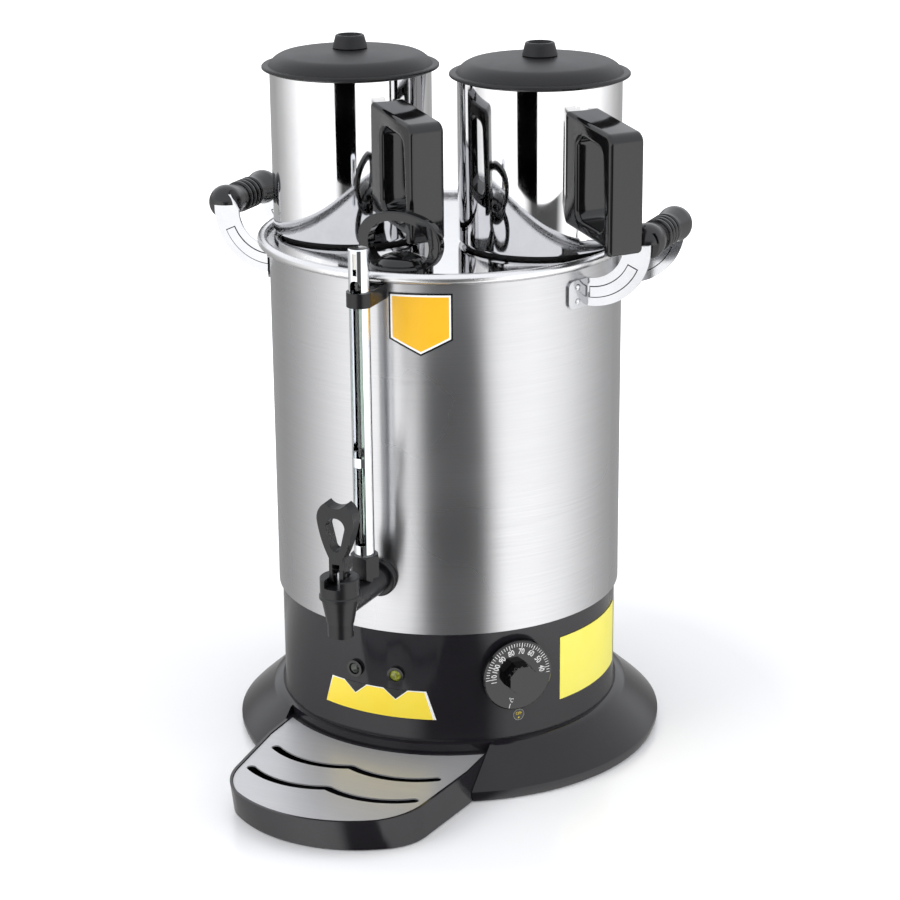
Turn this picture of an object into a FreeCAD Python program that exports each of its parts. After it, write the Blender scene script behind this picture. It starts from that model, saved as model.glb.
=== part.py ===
import FreeCAD, Part
import os
from math import asin, cos, degrees, pi, radians, sin, sqrt, tan
from FreeCAD import Vector

# Tea urn: a steel tank on a moulded base, with a lever tap, a sight gauge, a drip tray, a dial
# thermostat, two side handles and a lid that carries two teapots. Millimetres, +Z up. The origin is
# on the tank's axis where the urn stands, and -Y is the front, where the tap is.

# Directions of the groups about the tank's axis, in degrees from the front towards +X
base_turn = -2.7
handle_turn = -1.8
lid_turn = 5.5

# General clearances
seam = 0.1
running = 0.06
lift_gap = 0.3
slide_gap = 0.5

# Base housing, moulded
base_radius = 147.0
base_height = 136.0
base_wall = 3.0
flange_radius = 187.5
flange_edge_height = 9.0
flange_foot_inset = 2.0
flange_bead = 3.5
flange_top_radius = 158.5
flange_top_height = 35.0
flange_step = 2.0
flange_fillet = 9.5
collar_height = 11.5
ledge_inner_radius = 112.0

# Bottom cover, feet and screws
cover_thickness = 2.0
foot_radius = 13.0
foot_pitch_radius = 158.0
front_foot_turn = 70.0
back_foot_turn = 155.0
cover_screw_turn = 45.0
cover_screw_radius = 2.0
cover_screw_head_radius = 4.0
cover_screw_length = 16.0
vent_width = 4.0
vent_length = 46.0
vent_pitch = 9.0
vent_count = 5

# Tank
tank_radius = 150.0
tank_wall = 1.0
tank_rim_height = 440.2
rim_hem = 1.4
rim_hem_height = 4.0
floor_thickness = 1.5
floor_flange = 10.0
floor_corner = 3.0

# Tank lid, in its own turn about the axis
lid_sheet = 1.0
lid_deck_height = 441.5
lid_rim_radius = 160.0
lid_bead = 8.4
lid_bead_rise = 1.3
lid_skirt_depth = 8.0
pot_opening_radius = 57.0

# Filler neck and cap
filler_reach = 123.0
filler_hole_radius = 20.0
neck_wall = 1.2
neck_depth = 12.0
neck_lip = 3.0
neck_bead = 1.0
cap_radius = 26.0
cap_plate = 5.0
cap_chamfer = 1.6
cap_dome_radius = 19.0
cap_dome = 8.0
cap_plug_depth = 6.0
cap_plug_wall = 2.0
loop_width = 76.0
loop_top = 489.5
loop_band = 7.3
loop_side_band = 11.0
loop_leg_band = 13.0
loop_depth = 9.0
loop_leg_spread = 26.5
loop_shoulder_share = 0.66
loop_crown_drop = 5.0
loop_round = 1.5
loop_turn = -7.5

# Teapots
pot_spacing = 165.0
pot_radius = 68.5
pot_wall = 1.0
pot_bottom_height = 443.5
pot_rim_height = 579.6
pot_corner = 3.0
seat_ring_outer = 62.5
seat_ring_lip = 5.0
pot_lid_radius = 75.0
pot_lid_edge_height = pot_rim_height + 3.6
pot_lid_bead = 3.0
pot_lid_groove_radius = 69.5
pot_lid_shoulder_radius = 66.0
pot_lid_shoulder_height = pot_rim_height + 9.4
pot_lid_dome_radius = 58.0
pot_lid_dome_height = pot_rim_height + 14.1
pot_lid_crown_height = pot_rim_height + 18.0
pot_lid_wall = 2.5
pot_lid_plug_depth = 10.0
pot_lid_plug_wall = 2.0
knob_base_radius = 14.7
knob_top_radius = 12.2
knob_height = 11.3
knob_rim = 2.4
knob_dish = 3.0
knob_hole_radius = 4.5
knob_hole_depth = 4.0
pot_handle_turn = 51.8
pot_handle_width = 32.0
handle_reach = 133.0
handle_leg_reach = 122.5
handle_root_top_height = 563.6
handle_outer_top_height = 553.5
handle_root_low_height = 471.1
handle_arm_low_height = 463.0
handle_bottom_height = 456.0
handle_corner = 9.0
handle_foot_corner = 5.0
handle_edge = 3.0
handle_round = 3.5
opening_near_reach = 83.0
opening_far_top_reach = 119.0
opening_far_low_reach = 123.0
opening_near_top_height = 548.0
opening_far_top_height = 541.5
opening_near_low_height = 478.5
opening_far_low_height = 473.5
opening_corner = 9.0
handle_screw_radius = 2.0
handle_screw_head_radius = 4.0
handle_screw_head = 2.0
handle_screw_depth = 7.0
spout_width = 46.0
spout_reach = 24.0
spout_height = 56.0
spout_wall = 1.0
spout_top_gap = 1.5
strainer_hole_radius = 3.0
strainer_pitch = 10.0

# Side handles
strap_thickness = 2.0
strap_offset = 41.5
strap_low = 405.0
strap_width = 23.5
strap_arc_inner = 28.5
strap_arc_height = 457.0
strap_arc_reach = 148.0
strap_top_height = 470.0
strap_tongue_inset = 8.0
foot_plate_length = 22.8
foot_plate_corner = 6.0
rivet_share = 0.55
emboss_width = 9.0
emboss_proud = 0.5
emboss_end_angle = 24.0
grip_reach = 193.5
grip_height = 461.0
grip_ball_radius = 15.0
grip_ball_offset = 33.0
grip_flare_start = 17.0
grip_flare_end = 30.0
grip_radius = 12.0
grip_rib_radius = 13.6
grip_rib_count = 4
grip_rib_pitch = 7.0
grip_rib_width = 4.0
grip_rod_radius = 2.5
grip_rod_height = 465.0
rivet_head_radius = 2.6
rivet_head = 1.2
rivet_shank_radius = 1.6
rivet_spacing = 12.0

# Tap
tap_height = 184.5
tap_reach = 228.0
shank_radius = 9.0
shank_bore_radius = 4.5
tap_flange_radius = 16.0
tap_flange_thickness = 4.0
tap_washer_thickness = 1.5
lock_nut_width = 24.0
lock_nut_thickness = 6.0
shank_inner_length = 12.0
cone_top_radius = 16.0
cone_bottom_radius = 11.2
cone_top_height = tap_height + 10.5
cone_bottom_height = tap_height - 10.5
tip_radius = 10.5
tip_height = tap_height - 22.5
spout_bore_radius = 6.5
chamber_radius = 12.0
valve_seat_height = tap_height - 4.5
bonnet_radius = 16.0
bonnet_top_height = tap_height + 28.5
bonnet_lip = 0.8
bonnet_lip_height = 2.5
bonnet_wall = 2.0
bonnet_slot_width = 14.0
bonnet_slot_low = bonnet_top_height - 6.5
bonnet_floor_low = bonnet_top_height - 10.0
stem_radius = 3.0
seat_cup_radius = 8.0
seat_cup_height = 7.0
spring_wire_radius = 0.6
spring_radius = 6.2
spring_turns = 4
lever_width = 31.8
lever_pivot_height = bonnet_top_height + 1.0
lever_top_height = lever_pivot_height + 62.0
lever_ring_bottom = lever_pivot_height + 16.0
lever_band = 5.0
lever_hole_width = 16.4
lever_hole_foot_width = 9.0
lever_hole_low = lever_pivot_height + 21.7
lever_hole_top = lever_pivot_height + 50.0
lever_shoulder_drop = 14.3
lever_shoulder_round = 0.93
lever_crown_half = 8.7
lever_waist_half = 12.4
lever_depth = 13.0
lever_neck_width = 12.0
lever_dip = 4.0
lever_cheek_slot = 6.4
lever_pin_radius = 1.6

# Sight gauge
gauge_reach = tap_reach - 49.0
gauge_nut_width = 22.0
gauge_nut_low = tap_height + 11.9
gauge_nut_top = tap_height + 31.0
gauge_nut_socket = 8.5
gauge_boss_radius = 8.0
glass_radius = 5.0
glass_wall = 1.2
guard_radius = 8.4
guard_wall = 0.9
guard_top_height = 471.0
guard_slot_width = 9.6
guard_main_slot_low = 299.0
guard_main_slot_top = guard_top_height - 25.0
guard_low_slot_low = 224.0
guard_low_slot_top = 291.0
guard_slit_width = 3.3
guard_slit_low = guard_top_height - 21.0
guard_slit_top = guard_top_height - 3.0
seal_height = 5.0
clamp_low = guard_top_height - 47.0
clamp_height = 12.0
clamp_thickness = 2.0
clamp_screw_radius = 2.0
clamp_screw_length = 9.0
clamp_screw_head = 1.6

# Heater and its gland nuts
heater_radius = 4.0
heater_coil_radius = 62.0
heater_height = 172.0
heater_leg_spread = 44.0
gland_nut_width = 19.0
gland_nut_height = 6.0
terminal_length = 14.0
terminal_radius = 2.0

# Thermostat, cut-out, terminal block and cable gland
dial_turn = 47.5
dial_height = 94.7
dial_radius = 31.0
dial_thickness = 4.0
dial_gap = 0.8
dial_bevel = 1.0
dial_grip_radius = 13.0
dial_grip_height = 12.0
dial_grip_sides = 8
dial_grip_taper = 1.2
dial_bore_depth = 9.0
spindle_radius = 3.0
bushing_radius = 5.0
thermostat_width = 44.0
thermostat_height = 34.0
thermostat_depth = 30.0
thermostat_face = 141.6
bulb_radius = 3.0
bulb_length = 60.0
bulb_reach = 20.0
cutout_radius = 12.0
cutout_height = 11.0
cutout_reach = 70.0
terminal_block_size = (18.0, 44.0, 16.0)
terminal_block_turn = 150.0
terminal_block_reach = 122.0
gland_turn = 180.0
gland_height = 72.0
gland_radius = 11.0
gland_thread_radius = 8.0
gland_bore_radius = 4.5
gland_length = 16.0
gland_nut_thickness = 5.0

# Pilot lamps
lamp_angle = 7.4
lamp_height = 96.3
lamp_radius = 7.35
lamp_proud = 2.6
lamp_lens_radius = 5.0
lamp_lens_curve = 7.0
lamp_barrel_radius = 5.6
lamp_barrel_length = 18.0

# Bare labels and badge
label_thickness = 0.3
badge_thickness = 0.6
badge_turn = 14.6
badge_half_angle = 9.9
badge_top_height = 429.5
badge_shoulder_height = 391.0
badge_tip_height = 377.6
panel_top_half_angle = 17.5
panel_bottom_half_angle = 20.7
panel_top_height = 83.0
panel_bottom_height = 57.5
side_label_start_angle = 65.0
side_label_end_angle = 104.0
side_label_low = 60.5
side_label_top = 117.5

# Drip tray and its plate
tray_half_width = 95.0
tray_taper_reach = 165.0
tray_shoulder_half = 87.5
tray_shoulder_reach = 234.0
tray_knee_half = 80.8
tray_knee_reach = 257.0
tray_end_half = 66.0
tray_end_reach = 276.5
tray_front = 297.5
tray_retreat = 10.0
tray_back_radius = 154.0
tray_top_height = 30.0
tray_bottom_height = 0.5
tray_wall = 2.4
pocket_ceiling = 40.0
grate_ledge = 3.0
grate_thickness = 1.2
grate_recess = 1.0
grate_slot_width = 8.0
grate_slot_half = 75.5
grate_slot_gap = 1.0
grate_slot_rows = (195.5, 238.5)
grate_arch_share = 0.46
grate_arch = 6.2
grate_droop = 8.3


def disc(radius, low, high):
    return Part.makeCylinder(radius, high - low, Vector(0, 0, low))


def ring(outer, inner, low, high):
    return disc(outer, low, high).cut(disc(inner, low - seam, high + seam))


def polygon(points):
    return Part.Face(Part.makePolygon(points + [points[0]]))


def turned(points):
    """Solid of revolution about Z of an outline given as (radius, height) pairs."""
    return polygon([Vector(r, 0, z) for r, z in points]).revolve(Vector(0, 0, 0), Vector(0, 0, 1), 360)


def prism(points, low, high):
    return polygon([Vector(x, y, low) for x, y in points]).extrude(Vector(0, 0, high - low))


def arc(first, middle, last):
    return Part.Arc(first, middle, last).toShape()


def line(first, last):
    return Part.LineSegment(first, last).toShape()


def tangent_arc(start, tangent, end):
    """Arc that leaves its start along a tangent and ends at a point."""
    chord = end - start
    along = Vector(chord).normalize()
    side = tangent - along * tangent.dot(along)
    bulge = chord.Length / 2 * tan(tangent.getAngle(chord) / 2)
    return arc(start, (start + end) * 0.5 + side.normalize() * bulge, end)


def swept(path, radius):
    """Round bar of one radius along a smooth wire."""
    wire = Part.Wire(path)
    start = wire.Edges[0]
    point = start.valueAt(start.FirstParameter)
    tangent = start.tangentAt(start.FirstParameter)
    section = Part.Wire(Part.Circle(point, tangent, radius).toShape())
    return wire.makePipeShell([section], True, False)


def about(shape, turn):
    copy = shape.copy()
    copy.rotate(Vector(0, 0, 0), Vector(0, 0, 1), turn)
    return copy


def moved(shape, x, y, z=0.0):
    copy = shape.copy()
    copy.translate(Vector(x, y, z))
    return copy


def facing(shape, reach, height):
    """Stands a shape made along +Z so that it points to the front, its base at this reach."""
    copy = shape.copy()
    copy.rotate(Vector(0, 0, 0), Vector(1, 0, 0), 90)
    copy.translate(Vector(0, -reach, height))
    return copy


def hex_bar(width, low, high):
    radius = width / 2 / cos(pi / 6)
    corners = [(radius * cos(i * pi / 3), radius * sin(i * pi / 3)) for i in range(6)]
    return prism(corners, low, high)


def mirrored(shape):
    return shape.mirror(Vector(0, 0, 0), Vector(1, 0, 0))


def joined(shapes):
    return shapes[0].multiFuse(shapes[1:]).removeSplitter()


def rounded(shape, radius, chosen):
    edges = [edge for edge in shape.Edges if chosen(edge)]
    return shape.makeFillet(radius, edges)


nodes = {}

# Base housing and what it holds


def base_profile(inset):
    """Outline of the base at a given depth below its outer surface, from the foot to the top."""
    foot = flange_radius - flange_foot_inset - inset
    bead_top = flange_edge_height + flange_bead - inset / 2
    fillet_centre_height = flange_top_height + flange_step + flange_fillet
    return [
        (foot, 0.0),
        (flange_radius - inset, flange_edge_height - flange_bead),
        (flange_radius - inset, flange_edge_height),
        (flange_radius - flange_bead - inset, bead_top),
        (flange_top_radius - inset, flange_top_height - inset / 2),
        (base_radius + flange_fillet - inset, flange_top_height + flange_step - inset / 2),
        (base_radius + flange_fillet * (1 - cos(pi / 6)) * 2 - inset, fillet_centre_height
         - flange_fillet * cos(pi / 6)),
        (base_radius + flange_fillet * (1 - cos(pi / 3)) / 2 - inset, fillet_centre_height
         - flange_fillet / 2),
        (base_radius - inset, fillet_centre_height),
    ]


def pocket(clearance, low, high):
    """Space of the drip tray's recess in the flange, grown by a clearance."""
    half = tray_half_width + slide_gap + clearance
    block = Part.makeBox(2 * half, flange_radius + tray_wall, high - low,
                         Vector(-half, -flange_radius - tray_wall, low))
    back = disc(tray_back_radius - slide_gap - clearance, low - seam, high + seam)
    return block.cut(back)


def radial_hole(radius, turn, height, near, far):
    bar = Part.makeCylinder(radius, far - near, Vector(0, -near, height), Vector(0, -1, 0))
    return about(bar, turn)


def base_housing():
    top = base_height + collar_height
    collar = tank_radius - tank_wall - seam
    outer = turned([(0, 0)] + base_profile(0) + [
        (base_radius, base_height),
        (collar, base_height + base_wall),
        (collar, top),
        (0, top),
    ])
    cavity = turned([(0, -seam)] + [(base_profile(base_wall)[0][0], -seam)] + base_profile(base_wall) + [
        (base_radius - base_wall, top - base_wall),
        (0, top - base_wall),
    ])
    shell = outer.cut(pocket(0, -seam, pocket_ceiling))
    shell = shell.cut(cavity.cut(pocket(base_wall, -2 * seam, pocket_ceiling + base_wall)))
    shell = shell.cut(disc(ledge_inner_radius, top - 2 * base_wall, top + seam))
    bosses = []
    for turn in cover_screw_turns():
        boss = disc(2 * cover_screw_radius + base_wall / 2, cover_thickness, flange_top_height)
        boss = moved(boss, 0, -foot_pitch_radius)
        bosses.append(about(boss, turn).common(outer))
    shell = shell.fuse(bosses)
    for turn in cover_screw_turns():
        hole = disc(cover_screw_radius, 0, cover_screw_length)
        shell = shell.cut(about(moved(hole, 0, -foot_pitch_radius), turn))
    near = base_radius - 2 * base_wall
    far = base_radius + base_wall
    for side in (-1, 1):
        shell = shell.cut(radial_hole(lamp_barrel_radius + seam, side * lamp_angle, lamp_height, near, far))
    shell = shell.cut(radial_hole(bushing_radius + seam, dial_turn, dial_height, near, far))
    shell = shell.cut(radial_hole(gland_thread_radius + seam, gland_turn, gland_height, near, far))
    return about(shell.removeSplitter(), base_turn)


def cover_screw_turns():
    return [cover_screw_turn + 90 * index for index in range(4)]


def foot_turns():
    return [sign * turn for sign in (1, -1) for turn in (front_foot_turn, back_foot_turn)]


def bottom_cover():
    radius = base_profile(base_wall)[0][0] - seam
    plate = disc(radius, 0, cover_thickness)
    plate = plate.cut(pocket(base_wall + seam, -seam, cover_thickness + seam))
    for turn in cover_screw_turns():
        plate = plate.cut(about(moved(disc(cover_screw_head_radius + seam, -seam, cover_thickness / 2), 0,
                                      -foot_pitch_radius), turn))
        plate = plate.cut(about(moved(disc(cover_screw_radius + seam, -seam, cover_thickness + seam), 0,
                                      -foot_pitch_radius), turn))
    for turn in foot_turns():
        plate = plate.cut(about(moved(disc(foot_radius + seam, -seam, cover_thickness / 2), 0,
                                      -foot_pitch_radius), turn))
    for index in range(vent_count):
        offset = (index - (vent_count - 1) / 2) * vent_pitch
        slot = Part.makeBox(vent_length, vent_width, 2 * cover_thickness,
                            Vector(-vent_length / 2, offset - vent_width / 2 + bulb_length,
                                   -cover_thickness / 2))
        plate = plate.cut(slot)
    return about(plate, base_turn)


def rubber_feet():
    feet = [about(moved(disc(foot_radius, 0, cover_thickness / 2), 0, -foot_pitch_radius), turn)
            for turn in foot_turns()]
    return about(Part.makeCompound(feet), base_turn)


def bottom_screws():
    screws = []
    for turn in cover_screw_turns():
        head = disc(cover_screw_head_radius, 0.0, cover_thickness / 2)
        shank = disc(cover_screw_radius - seam, 0, cover_screw_length - seam)
        screws.append(about(moved(head.fuse(shank), 0, -foot_pitch_radius), turn))
    return about(Part.makeCompound(screws), base_turn)


nodes["base_housing"] = base_housing()
nodes["bottom_cover"] = bottom_cover()
nodes["rubber_feet"] = rubber_feet()
nodes["bottom_screws"] = bottom_screws()

# Tank, its floor and the tank lid


def tank_floor_height():
    return base_height + collar_height


def tank():
    outer = tank_radius
    inner = tank_radius - tank_wall
    wall = turned([
        (inner, base_height),
        (outer, base_height),
        (outer, tank_rim_height - rim_hem_height),
        (outer + rim_hem, tank_rim_height - rim_hem_height + rim_hem),
        (outer + rim_hem, tank_rim_height),
        (inner, tank_rim_height),
    ])
    hole = Part.makeCylinder(shank_radius + seam, 3 * tank_wall, Vector(0, -inner + tank_wall, tap_height),
                             Vector(0, -1, 0))
    wall = wall.cut(hole)
    screw = Part.makeCylinder(clamp_screw_radius + seam, 3 * tank_wall,
                              Vector(0, -inner + tank_wall, clamp_low + clamp_height / 2), Vector(0, -1, 0))
    wall = wall.cut(screw)
    for turn, height in rivet_places():
        wall = wall.cut(radial_hole(rivet_shank_radius + seam, turn, height, inner - tank_wall,
                                    outer + tank_wall))
    return wall


def tank_floor():
    low = tank_floor_height()
    radius = tank_radius - tank_wall - seam
    pan = turned([
        (0, low),
        (radius - floor_corner, low),
        (radius, low + floor_corner),
        (radius, low + floor_flange),
        (radius - floor_thickness, low + floor_flange),
        (radius - floor_thickness, low + floor_corner + floor_thickness / 2),
        (radius - floor_corner - floor_thickness / 2, low + floor_thickness),
        (0, low + floor_thickness),
    ])
    for x in heater_leg_places():
        pan = pan.cut(moved(disc(heater_radius + seam, low - seam, low + 2 * floor_thickness), x, 0))
    pan = pan.cut(moved(disc(bulb_radius + seam, low - seam, low + 2 * floor_thickness), 0, bulb_reach))
    return pan


def lid_openings():
    return [(-pot_spacing / 2, 0.0), (pot_spacing / 2, 0.0)]


def tank_lid():
    deck = lid_deck_height
    under = deck - lid_sheet
    bead = lid_bead / 2
    bead_centre = lid_rim_radius - bead
    bead_height = deck + lid_bead_rise
    skirt = tank_radius - tank_wall - slide_gap
    sheet = disc(bead_centre, under, deck)
    roll = Part.makeTorus(bead_centre, bead, Vector(0, 0, bead_height))
    hollow = Part.makeTorus(bead_centre, bead - lid_sheet, Vector(0, 0, bead_height))
    lip = ring(skirt, skirt - lid_sheet, deck - lid_skirt_depth, deck - lid_sheet / 2)
    lid = sheet.cut(ring(bead_centre + bead, bead_centre - bead + lid_sheet, under, deck))
    lid = lid.fuse(roll.cut(hollow)).fuse(lip)
    for x, y in lid_openings():
        lid = lid.cut(moved(disc(pot_opening_radius, under - seam, deck + seam), x, y))
    lid = lid.cut(moved(disc(filler_hole_radius, under - seam, deck + seam), 0, -filler_reach))
    return about(lid.removeSplitter(), lid_turn)


def pot_seat_rings():
    rings = []
    for x, y in lid_openings():
        flat = ring(seat_ring_outer, pot_opening_radius - seam - lid_sheet, lid_deck_height,
                    pot_bottom_height)
        collar = ring(pot_opening_radius - seam, pot_opening_radius - seam - lid_sheet,
                      lid_deck_height - seat_ring_lip, pot_bottom_height)
        rings.append(moved(flat.fuse(collar).removeSplitter(), x, y))
    return about(Part.makeCompound(rings), lid_turn)


def filler_neck():
    outer = filler_hole_radius - seam
    low = lid_deck_height - neck_depth
    neck = turned([
        (outer - neck_wall, low),
        (outer, low),
        (outer, lid_deck_height),
        (outer + neck_lip, lid_deck_height),
        (outer + neck_lip, lid_deck_height + neck_bead),
        (outer - neck_wall, lid_deck_height + neck_bead),
    ])
    return about(moved(neck, 0, -filler_reach), lid_turn)


def cap_seat_height():
    return lid_deck_height + neck_bead + lift_gap


def filler_cap():
    seat = cap_seat_height()
    plug = filler_hole_radius - seam - neck_wall - slide_gap
    body = turned([
        (0, seat + cap_plate - 2 * cap_plug_wall),
        (plug - cap_plug_wall, seat),
        (plug - cap_plug_wall, seat - cap_plug_depth),
        (plug, seat - cap_plug_depth),
        (plug, seat),
        (cap_radius, seat),
        (cap_radius, seat + cap_plate - cap_chamfer),
        (cap_radius - cap_chamfer, seat + cap_plate),
        (cap_dome_radius, seat + cap_plate),
        (cap_dome_radius * cos(pi / 6), seat + cap_plate + cap_dome * sin(pi / 6)),
        (cap_dome_radius * cos(pi / 3), seat + cap_plate + cap_dome * sin(pi / 3)),
        (0, seat + cap_plate + cap_dome),
    ])
    body = body.cut(ring(plug + seam, plug - gasket_depth(), seat - cap_plug_depth / 2 - gasket_depth(),
                         seat - cap_plug_depth / 2 + gasket_depth()))
    cap = body.fuse(cap_loop())
    return about(moved(cap.removeSplitter(), 0, -filler_reach), lid_turn)


def gasket_depth():
    return cap_plug_wall / 2


def loop_outline(half, top, leg):
    """Plate with a horseshoe outline: a shallow crown, round sides and legs that turn in."""
    y = -loop_depth / 2
    low = cap_seat_height() + cap_plate / 2
    drop = loop_crown_drop * 2 * half / loop_width
    shoulder = Vector(half * loop_shoulder_share, y, top - drop)
    radius = (shoulder.x ** 2 + drop ** 2) / 2 / drop
    heading = Vector(radius - drop, 0, -shoulder.x)
    crown = arc(Vector(-shoulder.x, y, shoulder.z), Vector(0, y, top), shoulder)
    right = tangent_arc(shoulder, heading.normalize(), Vector(leg, y, low))
    left = mirrored(right)
    foot = line(Vector(leg, y, low), Vector(-leg, y, low))
    wire = Part.Wire(Part.__sortEdges__([crown, right, foot, left]))
    return Part.Face(wire).extrude(Vector(0, loop_depth, 0))


def cap_loop():
    outside = loop_outline(loop_width / 2, loop_top, loop_leg_spread)
    outside = rounded(outside, loop_round, lambda edge: abs(edge.CenterOfMass.y) > loop_depth / 2 - seam
                      and edge.CenterOfMass.z > cap_seat_height() + cap_plate)
    inside = loop_outline(loop_width / 2 - loop_side_band, loop_top - loop_band,
                          loop_leg_spread - loop_leg_band)
    return about(outside.cut(inside), loop_turn - lid_turn)


def cap_gasket():
    plug = filler_hole_radius - seam - neck_wall - slide_gap
    middle = cap_seat_height() - cap_plug_depth / 2
    gasket = ring(plug, plug - gasket_depth() + seam, middle - gasket_depth() + seam,
                  middle + gasket_depth() - seam)
    return about(moved(gasket, 0, -filler_reach), lid_turn)


def rivet_places():
    places = []
    for side in (90, -90):
        for sign in (-1, 1):
            swing = asin(strap_offset / tank_radius) + rivet_share * foot_plate_length / tank_radius
            for offset in (-rivet_spacing / 2, rivet_spacing / 2):
                places.append((side + handle_turn + sign * degrees(swing),
                               strap_low + strap_width / 2 + offset))
    return places


def heater_leg_places():
    return [-heater_leg_spread / 2, heater_leg_spread / 2]


nodes["tank"] = tank()
nodes["tank_floor"] = tank_floor()
nodes["tank_lid"] = tank_lid()
nodes["pot_seat_rings"] = pot_seat_rings()
nodes["filler_neck"] = filler_neck()
nodes["filler_cap"] = filler_cap()
nodes["cap_gasket"] = cap_gasket()

# Heating element and the gear under the tank floor


def heating_element():
    """A ring above the floor whose two legs turn down through it."""
    low = tank_floor_height() - terminal_length
    leg = heater_leg_spread / 2
    coil = heater_coil_radius
    bend = 3 * heater_radius
    rise = sqrt(coil ** 2 - (leg + bend) ** 2)
    half = []
    for side in (-1, 1):
        foot = Vector(side * leg, 0, low)
        knee = Vector(side * leg, 0, heater_height - bend)
        run = Vector(side * leg, -bend, heater_height)
        middle = Vector(side * leg, -bend * (1 - cos(pi / 4)), heater_height - bend * (1 - sin(pi / 4)))
        out = Vector(side * leg, -rise + bend, heater_height)
        half.append((foot, knee, middle, run, out))
    left, right = half
    start = Vector(-leg, -rise + bend, heater_height)
    end = Vector(leg, -rise + bend, heater_height)
    turn_left = corner_arc(start, Vector(-1, 0, 0), bend)
    turn_right = corner_arc(end, Vector(1, 0, 0), bend)
    join_left = turn_left[2]
    join_right = turn_right[2]
    back = Vector(0, coil, heater_height)
    path = [line(left[0], left[1]), arc(left[1], left[2], left[3]), line(left[3], left[4]),
            arc(*turn_left), coil_arc(join_left, back, join_right),
            arc(turn_right[2], turn_right[1], turn_right[0]), line(right[4], right[3]),
            arc(right[3], right[2], right[1]), line(right[1], right[0])]
    return swept(path, heater_radius)


def corner_arc(start, outward, bend):
    """Quarter turn in plan from a run towards -Y round to one that leaves outwards."""
    centre = start + outward * bend
    middle = centre - outward * bend * cos(pi / 4) + Vector(0, -bend * sin(pi / 4), 0)
    return (start, middle, centre + Vector(0, -bend, 0))


def coil_arc(first, middle, last):
    return arc(first, middle, last)


def element_nuts():
    nuts = []
    low = tank_floor_height() - gland_nut_height
    for x in heater_leg_places():
        nut = hex_bar(gland_nut_width, low, low + gland_nut_height)
        nuts.append(moved(nut.cut(disc(heater_radius + seam, low - seam, low + gland_nut_height + seam)),
                          x, 0))
    return Part.makeCompound(nuts)


def thermostat_body():
    half = thermostat_width / 2
    block = Part.makeBox(thermostat_width, thermostat_depth, thermostat_height,
                         Vector(-half, -thermostat_face, dial_height - thermostat_height / 2))
    block = block.makeFillet(base_wall / 2, [e for e in block.Edges if abs(e.tangentAt(0).y) > 0.9])
    collar_radius = bushing_radius + base_wall
    collar = radial_hole(collar_radius, 0, dial_height, thermostat_face - base_wall,
                         sqrt((base_radius - base_wall) ** 2 - collar_radius ** 2) - seam)
    bushing = radial_hole(bushing_radius, 0, dial_height, thermostat_face - base_wall,
                          base_radius + dial_gap / 2)
    spindle = radial_hole(spindle_radius, 0, dial_height, thermostat_face,
                          base_radius + dial_gap + dial_thickness + dial_bore_depth - seam)
    body = joined([block, collar, bushing, spindle])
    return about(body, dial_turn + base_turn)


def thermostat_bulb():
    top = tank_floor_height() + bulb_length - terminal_length
    bulb = disc(bulb_radius, tank_floor_height() - terminal_length, top - bulb_radius)
    tip = Part.makeSphere(bulb_radius, Vector(0, 0, top - bulb_radius))
    return moved(bulb.fuse(tip).removeSplitter(), 0, bulb_reach)


def thermostat_knob():
    near = base_radius + dial_gap
    grip_low = dial_thickness - dial_bevel
    grip_top = dial_thickness + dial_grip_height
    disc_part = turned([
        (0, 0),
        (dial_radius, 0),
        (dial_radius, dial_thickness - dial_bevel),
        (dial_radius - dial_bevel, dial_thickness),
        (0, dial_thickness),
    ])
    base_corners = polygon_ring(dial_grip_radius + dial_grip_taper, grip_low)
    top_corners = polygon_ring(dial_grip_radius, grip_top)
    grip = Part.makeLoft([base_corners, top_corners], True, True)
    knob = disc_part.fuse(grip)
    knob = knob.cut(disc(spindle_radius + running, -seam, dial_thickness + dial_bore_depth))
    return about(facing(knob, near + seam, dial_height), dial_turn + base_turn)


def polygon_ring(radius, height):
    corners = []
    for index in range(dial_grip_sides + 1):
        angle = (index + 0.5) * 2 * pi / dial_grip_sides
        corners.append(Vector(radius * cos(angle), radius * sin(angle), height))
    return Part.makePolygon(corners)


def dry_boil_cutout():
    top = tank_floor_height()
    body = disc(cutout_radius, top - cutout_height, top - base_wall)
    flange = disc(cutout_radius - base_wall, top - base_wall - seam, top)
    tabs = Part.makeBox(2 * terminal_radius, cutout_radius, terminal_radius,
                        Vector(-terminal_radius, -cutout_radius / 2, top - cutout_height - terminal_radius))
    return about(moved(joined([body, flange, tabs]), 0, -cutout_reach), 90)


def terminal_block():
    depth, width, height = terminal_block_size
    low = cover_thickness
    block = Part.makeBox(width, depth, height, Vector(-width / 2, -terminal_block_reach, low))
    poles = 3
    pitch = width / poles
    for index in range(poles):
        x = (index - (poles - 1) / 2) * pitch
        well = disc(2 * terminal_radius, low + height / 2, low + height + seam)
        block = block.cut(moved(well, x, -terminal_block_reach + depth / 2))
        mouth = Part.makeBox(pitch - base_wall, depth + 2 * seam, height / 4,
                             Vector(x - (pitch - base_wall) / 2, -terminal_block_reach - seam,
                                    low + height / 4))
        block = block.cut(mouth)
    return about(block, terminal_block_turn)


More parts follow.
